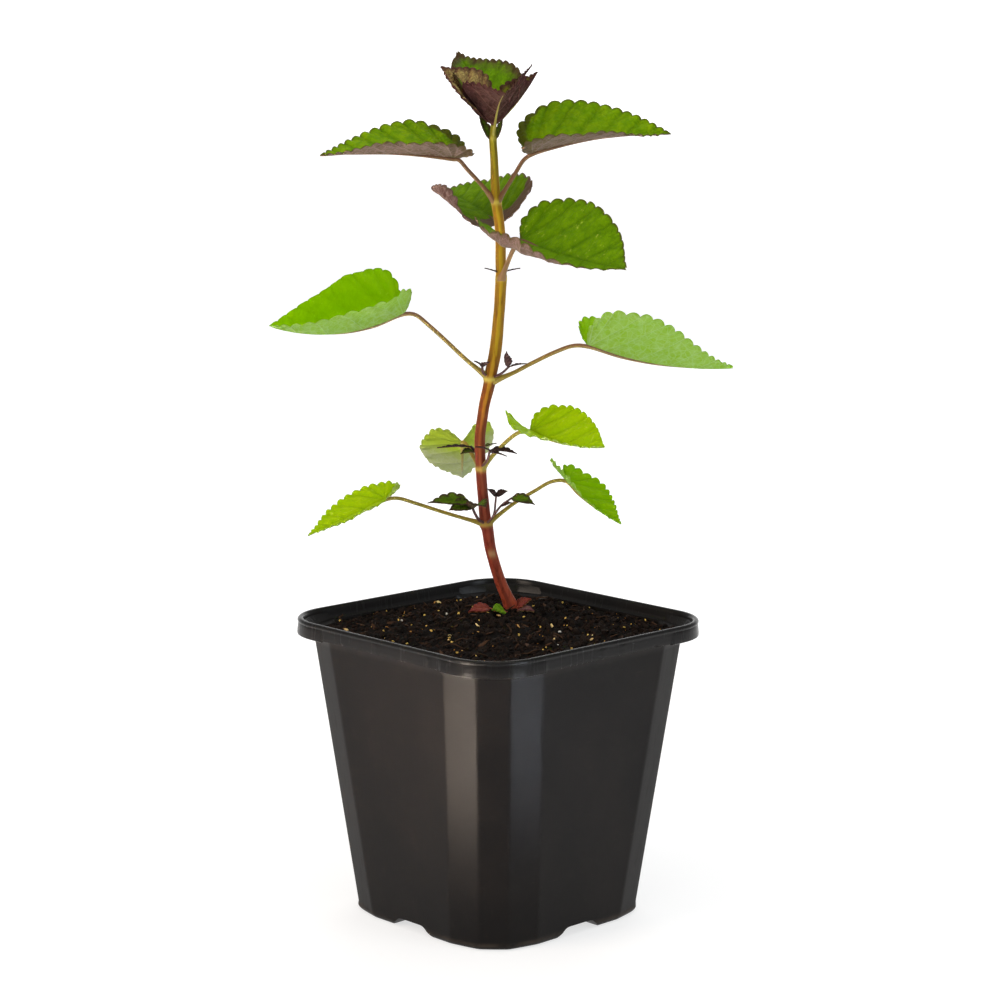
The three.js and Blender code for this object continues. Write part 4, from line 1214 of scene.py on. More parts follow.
@dataclass(frozen=True)
class Shoot:
    """One side shoot: its stalks and small leaves grown together."""

    name: str
    leaves: Sequence[SmallLeaf]
    stalks: Sequence[Sequence[Point]] = ()
    radius: float = 0.5
    thickness: float = 0.45
    stalk_look: StalkLook = StalkLook.DARK
    slot: str = "shoot"

    def build(self, wardrobe: Wardrobe) -> None:
        """Builds the shoot and dresses it.

        Args:
            wardrobe: Where its materials come from.
        """
        draft = Draft()
        looks: list[Enum] = [self.stalk_look]
        for path in self.stalks:
            radii = [self.radius * (1.1 - 0.3 * i / len(path)) for i in range(len(path))]
            Rod(path, radii, sides=10, rings=24).draw(draft)
        for number, leaf in enumerate(self.leaves):
            if leaf.look not in looks:
                looks.append(leaf.look)
            start = len(draft.faces)
            form = leaf.form(f"{self.name}_{number}", self.thickness)
            form.draw_blade(draft)
            draft.finishes[start:] = [looks.index(leaf.look)] * (len(draft.faces) - start)
        made = draft.piece(f"grown_{self.name}", [wardrobe.get(look) for look in looks], PLANT_TURN)
        stand_for(made, self.name, self.slot)


MIXED, DARK = LeafLook.MIXED, LeafLook.DARK
SHOOTS = (
    Shoot(
        "shoot_1_left",
        (
            SmallLeaf((-11.2, 7.8, 169.6), (-29.1, 3, 170.6), 3.7, 22, -34, 26, MIXED),
            SmallLeaf((-10.6, 7.8, 167.6), (-4.6, -2.4, 169.6), 4.6, 30, 4, 50, MIXED),
            SmallLeaf((-10.9, 7.9, 168.6), (-20.3, 2.5, 167.6), 3.8, 26, -40, 25, MIXED),
        ),
        (((-5, 12, 160.4), (-7.8, 9, 162.4), (-9.8, 8, 165.9), (-11.3, 7.8, 170)),),
        0.6,
    ),
    Shoot(
        "shoot_1_right",
        (
            SmallLeaf((-0.8, 7, 172.8), (-4.3, 5.8, 176), 1.7, 20, -40, 15),
            SmallLeaf((-0.8, 7, 172.9), (4, 5.9, 175.2), 1.9, 20, 40, 20),
            SmallLeaf((5.3, 5.3, 172.2), (15.4, 2, 170), 2.9, 15, 32, 35, MIXED),
            SmallLeaf((1.2, 6.8, 168.8), (5.6, 4.4, 170.6), 1.5, 20, 30, 10),
        ),
        (
            ((-5, 11, 160.4), (-1.9, 8.4, 164.4), (-1.1, 7.4, 170), (-0.8, 7, 173)),
            ((-1.9, 8.4, 164.4), (1.6, 6.6, 169.2), (5.6, 5.2, 172.3)),
        ),
        0.45,
    ),
    Shoot(
        "shoot_2_back",
        (
            SmallLeaf((-11, 14, 192.2), (-25.1, 10, 192.4), 2.1, 14, 0, 10),
            SmallLeaf((-9.2, 14.3, 189.8), (-15.6, 9.6, 189.9), 2.6, 26, -10, 30, MIXED),
            SmallLeaf((-9.4, 14.3, 190.4), (-0.6, 16.6, 193.4), 2, 20, 0, 20, MIXED),
        ),
        (((-7.1, 10.4, 184.2), (-8.7, 13.6, 186), (-9.3, 14.4, 189.8), (-11.4, 14, 192.4)),),
        0.55,
    ),
    Shoot(
        "shoot_2_front",
        (
            SmallLeaf((-3.6, 2.9, 192.2), (8, 0, 191.4), 2.1, 18, 20, 40),
            SmallLeaf((-3.4, 2.7, 192.4), (-9.4, -0.6, 194.4), 1.5, 20, 0, 20),
            SmallLeaf((-3.6, 3, 191.6), (3.6, 1.4, 190.2), 1.2, 18, 0, 20),
        ),
        (((-7, 9, 184.4), (-4.4, 4.6, 188.2), (-3.4, 2.6, 192.6)),),
    ),
    Shoot(
        "shoot_3_left",
        (
            SmallLeaf((-6.5, 5.1, 226.6), (-9.9, 2.6, 229.1), 1.6, 20, -10, 20),
            SmallLeaf((-6.6, 5.1, 226.4), (-3.6, 0.6, 229), 2, 20, 0, 25),
        ),
        (((-4, 7.4, 221.8), (-6.2, 5.6, 224), (-6.6, 5, 227)),),
        0.55,
    ),
    Shoot(
        "shoot_3_right",
        (
            SmallLeaf((4.3, 4.1, 226.5), (3.4, 4.4, 233), 2.5, 20, 60, -35),
            SmallLeaf((4.2, 4.1, 226.4), (11.5, 3, 228), 1.5, 25, 0, 20),
        ),
        (((-2.6, 7, 221.6), (1.4, 5.2, 223.8), (4.5, 4, 226.8)),),
    ),
    Shoot("shoot_4_left", (SmallLeaf((0.2, 5.4, 264.6), (-5.7, 4, 266.6), 0.9, 20, 0, 10),)),
    Shoot("shoot_4_right", (SmallLeaf((1.8, 5.4, 264.8), (8.8, 4, 266.6), 0.9, 20, 0, 10),)),
    Shoot("shoot_6_left", (SmallLeaf((-2.8, 5, 317.6), (-8.2, 4.2, 329.4), 2, 30, -60, -10, MIXED),)),
    Shoot("shoot_6_right", (SmallLeaf((-1.8, 5, 317.8), (1.6, 4.6, 327.2), 1.5, 30, 60, -10, MIXED),)),
)


def foot(name: str, look: LeafLook, path: Sequence[Point], radius: float, leaf: SmallLeaf) -> Shoot:
    """One of the thick young leaves where the stem meets the compost.

    Args:
        name: Its name.
        look: How it is coloured.
        path: Its stalk's way.
        radius: Its stalk's radius.
        leaf: The leaf, in any look.

    Returns:
        The leaf as a shoot of one.
    """
    return Shoot(
        name, (replace(leaf, look=look),), (path,), radius, thickness=1.2, stalk_look=StalkLook.RED,
        slot="foot_growth",
    )


FOOT_GROWTH = (
    foot(
        "foot_leaf_red", LeafLook.FOOT_RED, ((5, 26, 119.8), (0.6, 23, 120.6), (-3.6, 21.4, 122.4)), 0.8,
        SmallLeaf((-3, 21.6, 122), (-12.6, 17, 121.9), 3.1, 16, -25, 40),
    ),
    foot(
        "foot_leaf_green", LeafLook.FOOT_GREEN, ((5, 25.4, 119.6), (2.4, 21.4, 121.2)), 0.8,
        SmallLeaf((2.8, 21.8, 121), (-2.4, 15.6, 123.6), 2.9, 14, -35, 30),
    ),
    foot(
        "foot_leaf_pink", LeafLook.FOOT_RED, ((6, 27, 120), (8.6, 26, 122.2)), 0.9,
        SmallLeaf((8, 26.2, 121.8), (14, 25.4, 126), 3, 16, 30, 30),
    ),
    foot(
        "foot_leaf_purple", LeafLook.FOOT_PURPLE, ((6.4, 26.4, 119.8), (8.4, 23.4, 121.2)), 0.9,
        SmallLeaf((8, 23.8, 121), (15.4, 19.4, 121.9), 2.8, 14, 10, 40),
    ),
)


# Stem


@dataclass(frozen=True)
class StemFinish:
    """Olive and orange higher up, wine red lower down, with a pale band at every joint and paler corners.

    Each row of faces and corners is a height with the paint chip that the stem has there.
    """

    name: str = "hyssop_stem"
    low: float = 112.0
    high: float = 330.0
    faces: Sequence[tuple[int, int, int, int]] = (
        (112, 104, 40, 32), (130, 184, 84, 62), (150, 132, 50, 40), (172, 112, 36, 30), (190, 104, 38, 28),
        (205, 102, 42, 22), (219, 116, 58, 24), (236, 136, 96, 26), (262, 134, 98, 28), (284, 136, 94, 22),
        (300, 130, 102, 24), (328, 116, 118, 32),
    )
    corners: Sequence[tuple[int, int, int, int]] = (
        (112, 114, 52, 40), (150, 150, 72, 56), (180, 140, 72, 52), (200, 140, 80, 38), (214, 170, 122, 36),
        (236, 166, 140, 30), (300, 158, 132, 30), (328, 140, 144, 44),
    )

    def make(self) -> Material:
        """Builds the material, which reads height and how near a corner of the stem a point is.

        Returns:
            The material.
        """
        s = Shader(self.name)
        place = s.place()
        height = s.split(place, "Z") * (1 / MM)
        streak = s.noise(s.stretch(place, (760.0, 760.0, 60.0)), 1.0, 4.0, 0.6)
        grain = s.noise(place, 1900.0, 3.0)
        mottle = s.noise(place, 330.0, 3.0)
        rise = (height + (mottle - 0.5) * 9.0 - self.low) * (1 / (self.high - self.low))
        span = self.high - self.low
        on_face, on_corner = (
            s.ramp(rise, [((z - self.low) / span, chip) for z, *chip in rows])
            for rows in (self.faces, self.corners)
        )
        corner = s.between(s.mark("corner") + (streak - 0.5) * 0.9, 0.42, 0.95)
        colour = s.mix(corner * 0.75, on_face, on_corner)
        colour = s.mix(s.between(streak, 0.5, 0.72) * 0.35, colour, on_corner)
        colour = s.mix(s.between(1 - streak, 0.5, 0.66) * 0.5, colour, (76, 32, 16))
        colour = s.mix(s.mark("ring") * 0.85, colour, (196, 180, 84))
        colour = s.mix(s.mark("scar") * 0.9, colour, (186, 142, 98))
        normal = s.bump(streak * 0.7 + grain * 0.3, 0.2, 0.7)
        further = {"Specular IOR Level": 0.14, "Specular Tint": (1.0, 0.85, 0.3, 1.0)}
        return s.dress(colour, 0.36 + grain * 0.2, normal, further)


@dataclass
class Stem:
    """The bent, slightly square stem, with a swollen joint at every pair of leaves."""

    path: Sequence[tuple[float, float, float, float]] = (
        (7.4, 29, 108, 2.6), (6.2, 28.3, 117, 3.1), (5.5, 27.5, 122, 3.1), (3.8, 26, 126.6, 2.5),
        (1.4, 23.5, 132.6, 2.3), (-2.7, 17.5, 147, 2.2), (-4.4, 14, 157.5, 2.35), (-5, 13, 160.5, 2.7),
        (-5.4, 12.6, 163.5, 2.3), (-6.4, 11, 173.8, 2.1), (-7.1, 10, 183.9, 2.1), (-7.5, 9, 196.1, 2.1),
        (-5.9, 8.5, 209, 2.1), (-3.6, 8, 219.7, 2.35), (-3.3, 8, 222, 2.55), (-2.6, 7.8, 225.5, 2.4),
        (-1.2, 7.5, 232.9, 2.4), (0.2, 7, 248.1, 2.15), (1, 6, 262, 2.2), (0.9, 5.9, 266, 2.05),
        (0.5, 5.5, 281.8, 1.95), (-1, 5, 293, 1.95), (-1.3, 5, 296, 1.85), (-1.8, 5, 307.9, 1.5),
        (-2.4, 5, 319, 1.45), (-2.2, 5.3, 323.5, 1.1), (-2, 5.8, 328, 0.7),
    )
    joints: Sequence[tuple[float, float]] = (
        (160.2, 0.7), (183.6, 0.75), (221.0, 1.0), (262.0, 0.45), (293.0, 0.8), (318.5, 0.6),
    )
    scar_height: float = 147.0
    square: float = 0.055
    sides: int = 40
    rings: int = 420

    def build(self) -> None:
        """Builds the stem and dresses it."""
        draft = Draft()
        through = [p[:3] for p in self.path]
        radii = [p[3] for p in self.path]
        heights = smooth_path(through, self.rings)[0][:, 2]

        def shaped(share: Array, angle: Array) -> Array:
            """Fine ridges, a collar at each joint and a little unevenness.

            Args:
                share: How far along the stem.
                angle: The angle round it.

            Returns:
                Factors on the radius.
            """
            height = np.interp(share, np.linspace(0, 1, self.rings + 1), heights)
            collar = sum(
                strength * (0.1 * hump(height - z, 1.1) - 0.05 * hump(height - z - 2.4, 0.8))
                for z, strength in self.joints
            )
            ridges = 0.012 * np.cos(12 * angle + 0.02 * height) + 0.008 * np.cos(20 * angle + 1.3)
            uneven = 0.02 * np.sin(height * 0.47) * np.cos(angle + height * 0.06)
            return 1 + collar + ridges + uneven

        def section(angle: Array) -> Array:
            """Nearly round, drawn out to four blunt corners."""
            return 1 + self.square * np.cos(4 * angle)

        Rod(through, radii, self.sides, self.rings, section, (1.0, 0.0, 0.0)).draw(draft, shaped)
        points = np.vstack(draft.points)
        height = points[:, 2]
        angle = np.tile(np.linspace(0, 2 * math.pi, self.sides, endpoint=False), self.rings + 1)
        corner = np.concatenate([0.5 + 0.5 * np.cos(4 * angle), [0.5, 0.5]])
        ring = sum(strength * hump(height - z, 1.0) for z, strength in self.joints)
        front = np.concatenate([np.cos(angle + 0.5 * math.pi - 0.1), [0.0, 0.0]])
        scar = hump(height - self.scar_height, 1.7) * eased(front, 0.55, 0.95)
        for name, values in (("corner", corner), ("ring", np.minimum(ring, 1)), ("scar", scar)):
            draft.marks[name] = [values]
        made = draft.piece("grown_main_stem", [StemFinish().make()], PLANT_TURN)
        stand_for(made, "main_stem", "stem")


# Pot


@dataclass(frozen=True)
class PotFinish:
    """Black moulded plastic with a fine grain, scuffs that run up and down, and a little dust."""

    name: str = "black_nursery_plastic"
    black: Chip = (13, 10, 9)
    worn: Chip = (34, 29, 26)
    rim_black: Chip = (6, 5, 5)
    dust: Chip = (80, 70, 60)

    def make(self) -> Material:
        """Builds the material.

        Returns:
            The material.
        """
        s = Shader(self.name)
        place = s.place()
        cloud = s.noise(place, 26.0, 4.0)
        mottle = s.noise(place, 120.0, 4.0)
        grain = s.noise(place, 1500.0, 3.0)
        scuffs = s.noise(s.stretch(place, (520.0, 520.0, 34.0)), 1.0, 4.0, 0.65)
        marks = s.noise(s.stretch(place, (90.0, 90.0, 1500.0)), 1.0, 3.0, 0.6, 0.3)
        colour = s.mix(s.between(cloud, 0.35, 0.75) * 0.35, self.black, self.worn)
        colour = s.mix(s.between(scuffs, 0.58, 0.8) * 0.35, colour, self.worn)
        colour = s.mix(s.between(mottle, 0.56, 0.8) * 0.25, colour, self.worn)
        colour = s.mix(s.mark("worn") * s.between(mottle, 0.3, 0.6), colour, self.dust)
        colour = s.mix(s.between(marks, 0.68, 0.8) * 0.2, colour, self.dust)
        rim = s.mark("rim")
        colour = s.mix(rim * 0.6, colour, self.rim_black)
        roughness = 0.4 - rim * 0.2 + cloud * 0.1 + s.between(scuffs, 0.5, 0.8) * 0.12
        normal = s.bump(grain * 0.5 + mottle * 0.8 + scuffs * 0.4, 0.09, 0.5)
        further = {"Specular IOR Level": 0.07, "Coat Weight": 0.1 + rim * 0.16, "Coat Roughness": 0.34}
        return s.dress(colour, roughness, normal, further)


@dataclass
class Pot:
    """The square pot: four flat sides, three facets at each corner, a skirted rim and arches at its foot."""

    rim_side: float = 130.0
    height: float = 123.7
    rim_corner_radius: float = 23.0
    wall_side_base: float = 96.2
    wall_side_top: float = 123.0
    wall_top: float = 113.7
    wall_thickness: float = 1.3
    facet_angle: float = 28.9
    chords_base: tuple[float, float, float] = (13.3, 11.5, 13.3)
    chords_top: tuple[float, float, float] = (14.95, 13.1, 14.95)
    edge_rounding: float = 1.1
    skirt_bottom: float = 117.4
    rim_underside: float = 121.7
    ledge: float = 118.6
    floor: float = 1.6
    arch_base_half: float = 12.6
    arch_top_half: float = 7.6
    arch_height: float = 4.2
    arch_reach: float = 80.0
    arch_cover: float = 1.4
    cover_inset: float = 0.6
    cover_heights: tuple[float, float] = (0.95, 9.0)
    drain_centre: float = 5.0
    drain_arm: float = 4.0
    drain_reach: float = 26.0
    drain_sides: int = 40
    drill_heights: tuple[float, float] = (-2.0, 10.0)
    sharp_angle: float = 38.0
    side_points: int = 57
    seams: tuple[tuple[int, float], ...] = ((1, 1.6), (1, -29.0), (2, -4.3), (2, 7.0), (0, 12.0), (3, -18.0))
    notches: tuple[tuple[int, float], ...] = ((1, 24.0), (2, 25.6))

    def wall_half(self, z: float) -> float:
        """Half of the outer wall's side at a height."""
        return (self.wall_side_base + (self.wall_side_top - self.wall_side_base) * z / self.wall_top) / 2

    def faceted(self, half: float, z: float) -> Array:
        """One corner of the wall's section, with its edges a little rounded.

        Args:
            half: Half of the section's side.
            z: The height, which sets how wide the facets are.

        Returns:
            Points from the side square to X to the side square to Y.
        """
        share = min(z / self.wall_top, 1)
        chords = [a + (b - a) * share for a, b in zip(self.chords_base, self.chords_top)]
        angles = [math.radians(135 + turn) for turn in (-self.facet_angle, 0, self.facet_angle)]
        rise = sum(c * math.sin(a) for c, a in zip(chords, angles))
        edges = [np.array([half, half - rise])]
        for chord, angle in zip(chords, angles):
            edges.append(edges[-1] + chord * np.array([math.cos(angle), math.sin(angle)]))
        around = [edges[0] - [0, 10.0], *edges, edges[-1] - [10.0, 0]]
        points = []
        for before, at, after in zip(around, around[1:], around[2:]):
            first = at + unit(before - at) * self.edge_rounding
            last = at + unit(after - at) * self.edge_rounding
            if points:
                start = points[-1]
                points += [start + (first - start) * part for part in (0.25, 0.5, 0.75)]
            points += bend(first, at, last)
        return np.array(points)

    def rounded(self, half: float, corner: Array) -> Array:
        """The same corner with one round arc.

        Args:
            half: Half of the section's side.
            corner: The faceted corner whose spacing it follows.

        Returns:
            As many points.
        """
        radius = self.rim_corner_radius - self.rim_side / 2 + max(half, 60)
        start = corner[0][1]
        gone = travelled(corner)
        straight = half - radius - start
        arc = radius * math.pi / 2
        travel = gone / gone[-1] * (2 * straight + arc)
        angle = np.clip((travel - straight) / radius, 0, math.pi / 2)
        before = np.minimum(travel - straight, 0)
        after = np.maximum(travel - straight - arc, 0)
        x = half - radius + radius * np.cos(angle) - after
        y = half - radius + radius * np.sin(angle) + before
        return np.stack([x, y], axis=1)

    def ring(
        self, half: float, z: float, round_: float = 0.0, inset: float = 0.0, flare: float = 0.0
    ) -> Array:
        """A ring round the pot.

        Args:
            half: Half of its side.
            z: Its height.
            round_: How round its corners are, from 0 to 1.
            inset: How far it is set in, so that its facets stay parallel to the wall's.
            flare: How far its corners stand out beyond its sides.

        Returns:
            Its points.
        """
        faceted = self.faceted(half + inset, z) - inset
        corner = faceted + (self.rounded(half, faceted) - faceted) * round_
        end = corner[-1][0]
        along = np.linspace(end - 0.5, -end + 0.5, self.side_points)
        side = np.stack([along, np.full_like(along, half)], axis=1)
        middle = corner - (half - self.rim_corner_radius)
        stand = unit(np.maximum(middle, 0.001)) * flare
        quarter = np.vstack([corner + stand, side])
        x, y = quarter.T
        quarters = []
        for turn in range(4):
            c, s = round(math.cos(turn * math.pi / 2)), round(math.sin(turn * math.pi / 2))
            quarters.append(np.stack([c * x - s * y, s * x + c * y], axis=1))
        flat = np.vstack(quarters)
        return np.column_stack([flat, np.full(len(flat), z)])

    @property
    def is_corner(self) -> Array:
        """Which points of a ring lie on its corners."""
        quarter = len(self.faceted(60, 60))
        return np.tile(np.concatenate([np.ones(quarter), np.zeros(self.side_points)]), 4)

    def side_place(self, ring: Array) -> tuple[Array, Array]:
        """Which side each point of a ring is on, and how far along it.

        Args:
            ring: The ring.

        Returns:
            The side's number, and the place along the side.
        """
        x, y = ring[:, 0], ring[:, 1]
        side = np.where(np.abs(x) > np.abs(y), np.where(x > 0, 0, 1), np.where(y < 0, 2, 3))
        return side, np.where(np.abs(x) > np.abs(y), y, x)

    def body_rings(self) -> list[Array]:
        """The outside from the foot to the underside of the rim.

        Returns:
            The rings from the foot up.
        """
        w = self.wall_half
        rings = [
            self.ring(w(0) - 2.6, 0, 0.2, 2.6),
            self.ring(w(0) - 1.5, 0.12, 0.2, 1.5),
            self.ring(w(0) - 0.7, 0.5, 0.2, 0.7),
            self.ring(w(0) - 0.2, 1.1, 0.18, 0.2),
            self.ring(w(1) + 0.08, 1.8, 0.15),
            self.ring(w(2) + 0.1, 2.3, 0.12),
            self.ring(w(2.8) - 0.05, 2.8, 0.08),
            self.ring(w(3.4), 3.4, 0.03),
            self.ring(w(4.2), 4.2),
        ]
        rings += [self.ring(w(z), z) for z in (*np.linspace(10, 114, 14), self.skirt_bottom)]
        return rings + [self.ring(62.3, self.rim_underside, 1)]

    def rim_rings(self) -> list[Array]:
        """The skirt, the bead on top of it and the step inside.

        Returns:
            The rings from the outside in.
        """
        top, low = self.height, self.skirt_bottom
        rings = [self.ring(63.3, self.rim_underside, 1), self.ring(63.5, low + 0.9, 1, flare=0.2)]
        shapes = (
            (63.75, low + 0.1, 0.35), (64.2, low - 0.1, 0.42), (64.65, low + 0.1, 0.42),
            (64.8, low + 0.7, 0.35), (64.8, low + 1.6, 0.25), (64.75, low + 3.0, 0.12),
            (64.7, low + 4.1, 0.04), (64.62, low + 4.5, 0.0), (64.75, low + 4.8, 0.0),
            (64.98, low + 5.15, 0.0), (64.96, low + 5.55, 0.0), (64.7, low + 5.95, 0.0),
            (64.3, low + 6.2, 0.0), (63.8, top, 0.0), (63.2, top - 0.04, 0.0), (62.8, top - 0.25, 0.0),
            (62.5, top - 0.7, 0.0), (62.3, top - 1.6, 0.0), (62.0, self.ledge + 1.6, 0.0),
            (61.8, self.ledge + 0.7, 0.0), (61.4, self.ledge + 0.2, 0.0),
        )
        corner = self.is_corner
        for half, z, flare in shapes:
            ring = self.ring(half, z, 1, flare=flare)
            if z < low + 2:
                ring[:, 2] -= 0.45 * corner * (1 - (z - low + 0.1) / 2.1)
            rings.append(ring)
        rings.append(self.ring(60.9, self.ledge, 0.6))
        self.mark_skirt(rings[1:9])
        return rings

    def mark_skirt(self, rings: Sequence[Array]) -> None:
        """Adds the moulding seams and the torn notches to the skirt's rings.

        Args:
            rings: The rings, which are changed in place.
        """
        for ring in rings:
            side, along = self.side_place(ring)
            outward = unit(ring[:, :2] * np.eye(2)[np.where(side < 2, 0, 1)])
            for number, place in self.seams:
                bead = hump(along - place, 0.7) * (side == number)
                ring[:, :2] += outward * (0.28 * bead)[:, None]
            for number, place in self.notches:
                tear = hump(along - place, 0.8) * (side == number)
                ring[:, 2] += 1.5 * tear * np.clip((self.skirt_bottom + 1.8 - ring[:, 2]) / 1.8, 0, 1)

    def inner_rings(self, gap: float, top: float) -> list[Array]:
        """The inside of the wall, from the floor up.

        Args:
            gap: How far it is set in from the wall itself.
            top: The height of its last ring.

        Returns:
            The rings from the floor up.
        """
        inset = self.wall_thickness + gap
        w = self.wall_half
        return [
            self.ring(w(self.floor) - inset - 1.4, self.floor + gap, 0, inset + 1.4),
            self.ring(w(4) - inset - 0.3, 3.2 + gap, 0, inset + 0.3),
            self.ring(w(6) - inset, 6 + gap, 0, inset),
            self.ring(w(60) - inset, 60, 0, inset),
            self.ring(w(top) - inset, top, 0, inset),
        ]

    def arch_cross(self, grow: float) -> Piece:
        """The crossing channels under the pot, grown by a margin.

        Args:
            grow: The margin.

        Returns:
            A cutter of two crossing bars.
        """
        slope = (self.arch_base_half - self.arch_top_half) / self.arch_height
        foot_half = self.arch_base_half + slope + grow * 1.4
        top_half = self.arch_top_half + grow * 0.7
        top = self.arch_height + grow
        outline = [(-foot_half, -1.0), (foot_half, -1.0)]
        edge = np.array([(top_half + 1.2, top - 1.4), (top_half, top), (top_half - 2.0, top)])
        arc = [tuple(point) for point in bend(*edge)]
        outline += arc + [(-x, z) for x, z in arc[::-1]]
        bars = []
        for turn in (0.0, math.pi / 2):
            points, faces = loft(
                [np.array([(y, x, z) for x, z in outline]) for y in (-self.arch_reach, self.arch_reach)]
            )
            draft = Draft()
            draft.add(turned(points, turn), faces)
            bars.append(draft.piece("arch_bar", []))
        for bar in bars:
            face_out(bar)
        return joined_solid(bars[0], bars[1], "UNION")

    def build(self) -> None:
        """Moulds the pot, opens its arches and drainage holes, and dresses it."""
        rings = self.body_rings() + self.rim_rings() + self.inner_rings(0, self.skirt_bottom)[::-1]
        pot = solid("pot", rings)
        inset = self.cover_inset
        core = solid(
            "arch_cover", [self.ring(self.wall_half(z) - inset, z, 0, inset) for z in self.cover_heights]
        )
        cover = joined_solid(core, self.arch_cross(self.arch_cover), "INTERSECT")
        pot = joined_solid(pot, cover, "UNION")
        pot = joined_solid(pot, self.arch_cross(0), "DIFFERENCE")
        holes = [(0.0, 0.0, self.drain_centre)]
        for x, y in ((1, 0), (-1, 0), (0, 1), (0, -1)):
            holes.append((x * self.drain_reach, y * self.drain_reach, self.drain_arm))
        angle = np.linspace(0, 2 * math.pi, self.drain_sides, endpoint=False)
        for x, y, radius in holes:
            ring = [x + radius * np.cos(angle), y + radius * np.sin(angle)]
            drill = [np.column_stack([*ring, np.full(self.drain_sides, z)]) for z in self.drill_heights]
            pot = joined_solid(pot, solid("drill", drill), "DIFFERENCE")
        finish_solid(pot, "pot_moulding", PotFinish().make())
        self.mark_wear(pot.data)
        stand_for(pot, "pot", "pot")

    def mark_wear(self, mesh: bpy.types.Mesh) -> None:
        """Keeps the pot's edges sharp, and marks its rim and where it is worn.

        Args:
            mesh: The pot's mesh.
        """
        mesh.set_sharp_from_angle(angle=math.radians(self.sharp_angle))
        points = np.zeros(len(mesh.vertices) * 3)
        mesh.vertices.foreach_get("co", points)
        z = points.reshape(-1, 3)[:, 2] / MM
        worn = 0.35 * hump(z - 2.3, 0.8) + 0.16 * hump(z - self.skirt_bottom, 0.5)
        rim = eased(z, self.skirt_bottom - 0.8, self.skirt_bottom - 0.3)
        for name, values in (("worn", worn), ("rim", rim)):
            attribute = mesh.attributes.new(name, "FLOAT", "POINT")
            attribute.data.foreach_set("value", values.astype(np.float32))


def solid(name: str, rings: Sequence[Array]) -> Piece:
    """A plain closed solid between rings, without a finish.

    Args:
        name: Its name.
        rings: Its rings from the first cap to the last.

    Returns:
        The solid.
    """
    draft = Draft()
    draft.add(*loft(rings))
    return draft.piece(name, [])


def finish_solid(made: Piece, name: str, material: Material) -> None:
    """Welds a joined solid, names it, and gives it its only material.

    Args:
        made: The solid.
        name: Its name from now on.
        material: The material that it wears all over.
    """
    weld(made.data)
    made.name = made.data.name = name
    made.data.materials.clear()
    made.data.materials.append(material)
    made.data.shade_smooth()


def face_out(made: Piece) -> None:
    """Turns every face of a closed mesh outwards.

    Args:
        made: The piece, which is changed in place.
    """
    shape = bmesh.new()
    shape.from_mesh(made.data)
    bmesh.ops.recalc_face_normals(shape, faces=shape.faces)
    shape.to_mesh(made.data)
    shape.free()


def joined_solid(first: Piece, second: Piece, way: str) -> Piece:
    """One solid from two, which are both used up.

    Args:
        first: The solid that is kept or cut.
        second: The solid that joins it or cuts it.
        way: UNION, DIFFERENCE or INTERSECT.

    Returns:
        The new solid.
    """
    cut = first.modifiers.new("cut", "BOOLEAN")
    cut.operation = way
    cut.solver = "EXACT"
    cut.object = second
    made = set_out(first.name, modified(first))
    for used in (first, second):
        bpy.data.objects.remove(used)
    return made


# Compost


@dataclass(frozen=True)
class SoilFinish:
    """Near-black compost, darker and lighter in patches, in any of its grains."""

    name: str
    dark: Chip
    light: Chip
    roughness: float = 0.85
    grain: float = 700.0

    def make(self) -> Material:
        """Builds the material. A scattered grain takes its shade from its own tone.

        Returns:
            The material.
        """
        s = Shader(self.name)
        place = s.place()
        clump = s.noise(place, self.grain * 0.25, 4.0)
        fine = s.noise(place, self.grain * 2.2, 3.0, 0.65)
        shade = s.between(clump * 0.5 + s.mark("tone") * 0.5, 0.25, 0.75)
        colour = s.mix(shade, self.dark, self.light)
        colour = s.mix(s.between(fine, 0.55, 0.8) * 0.4, colour, self.light)
        normal = s.bump(fine * 0.6 + clump * 0.6, 0.5, 0.9)
        return s.dress(colour, self.roughness + (fine - 0.5) * 0.2, normal, {"Specular IOR Level": 0.15})


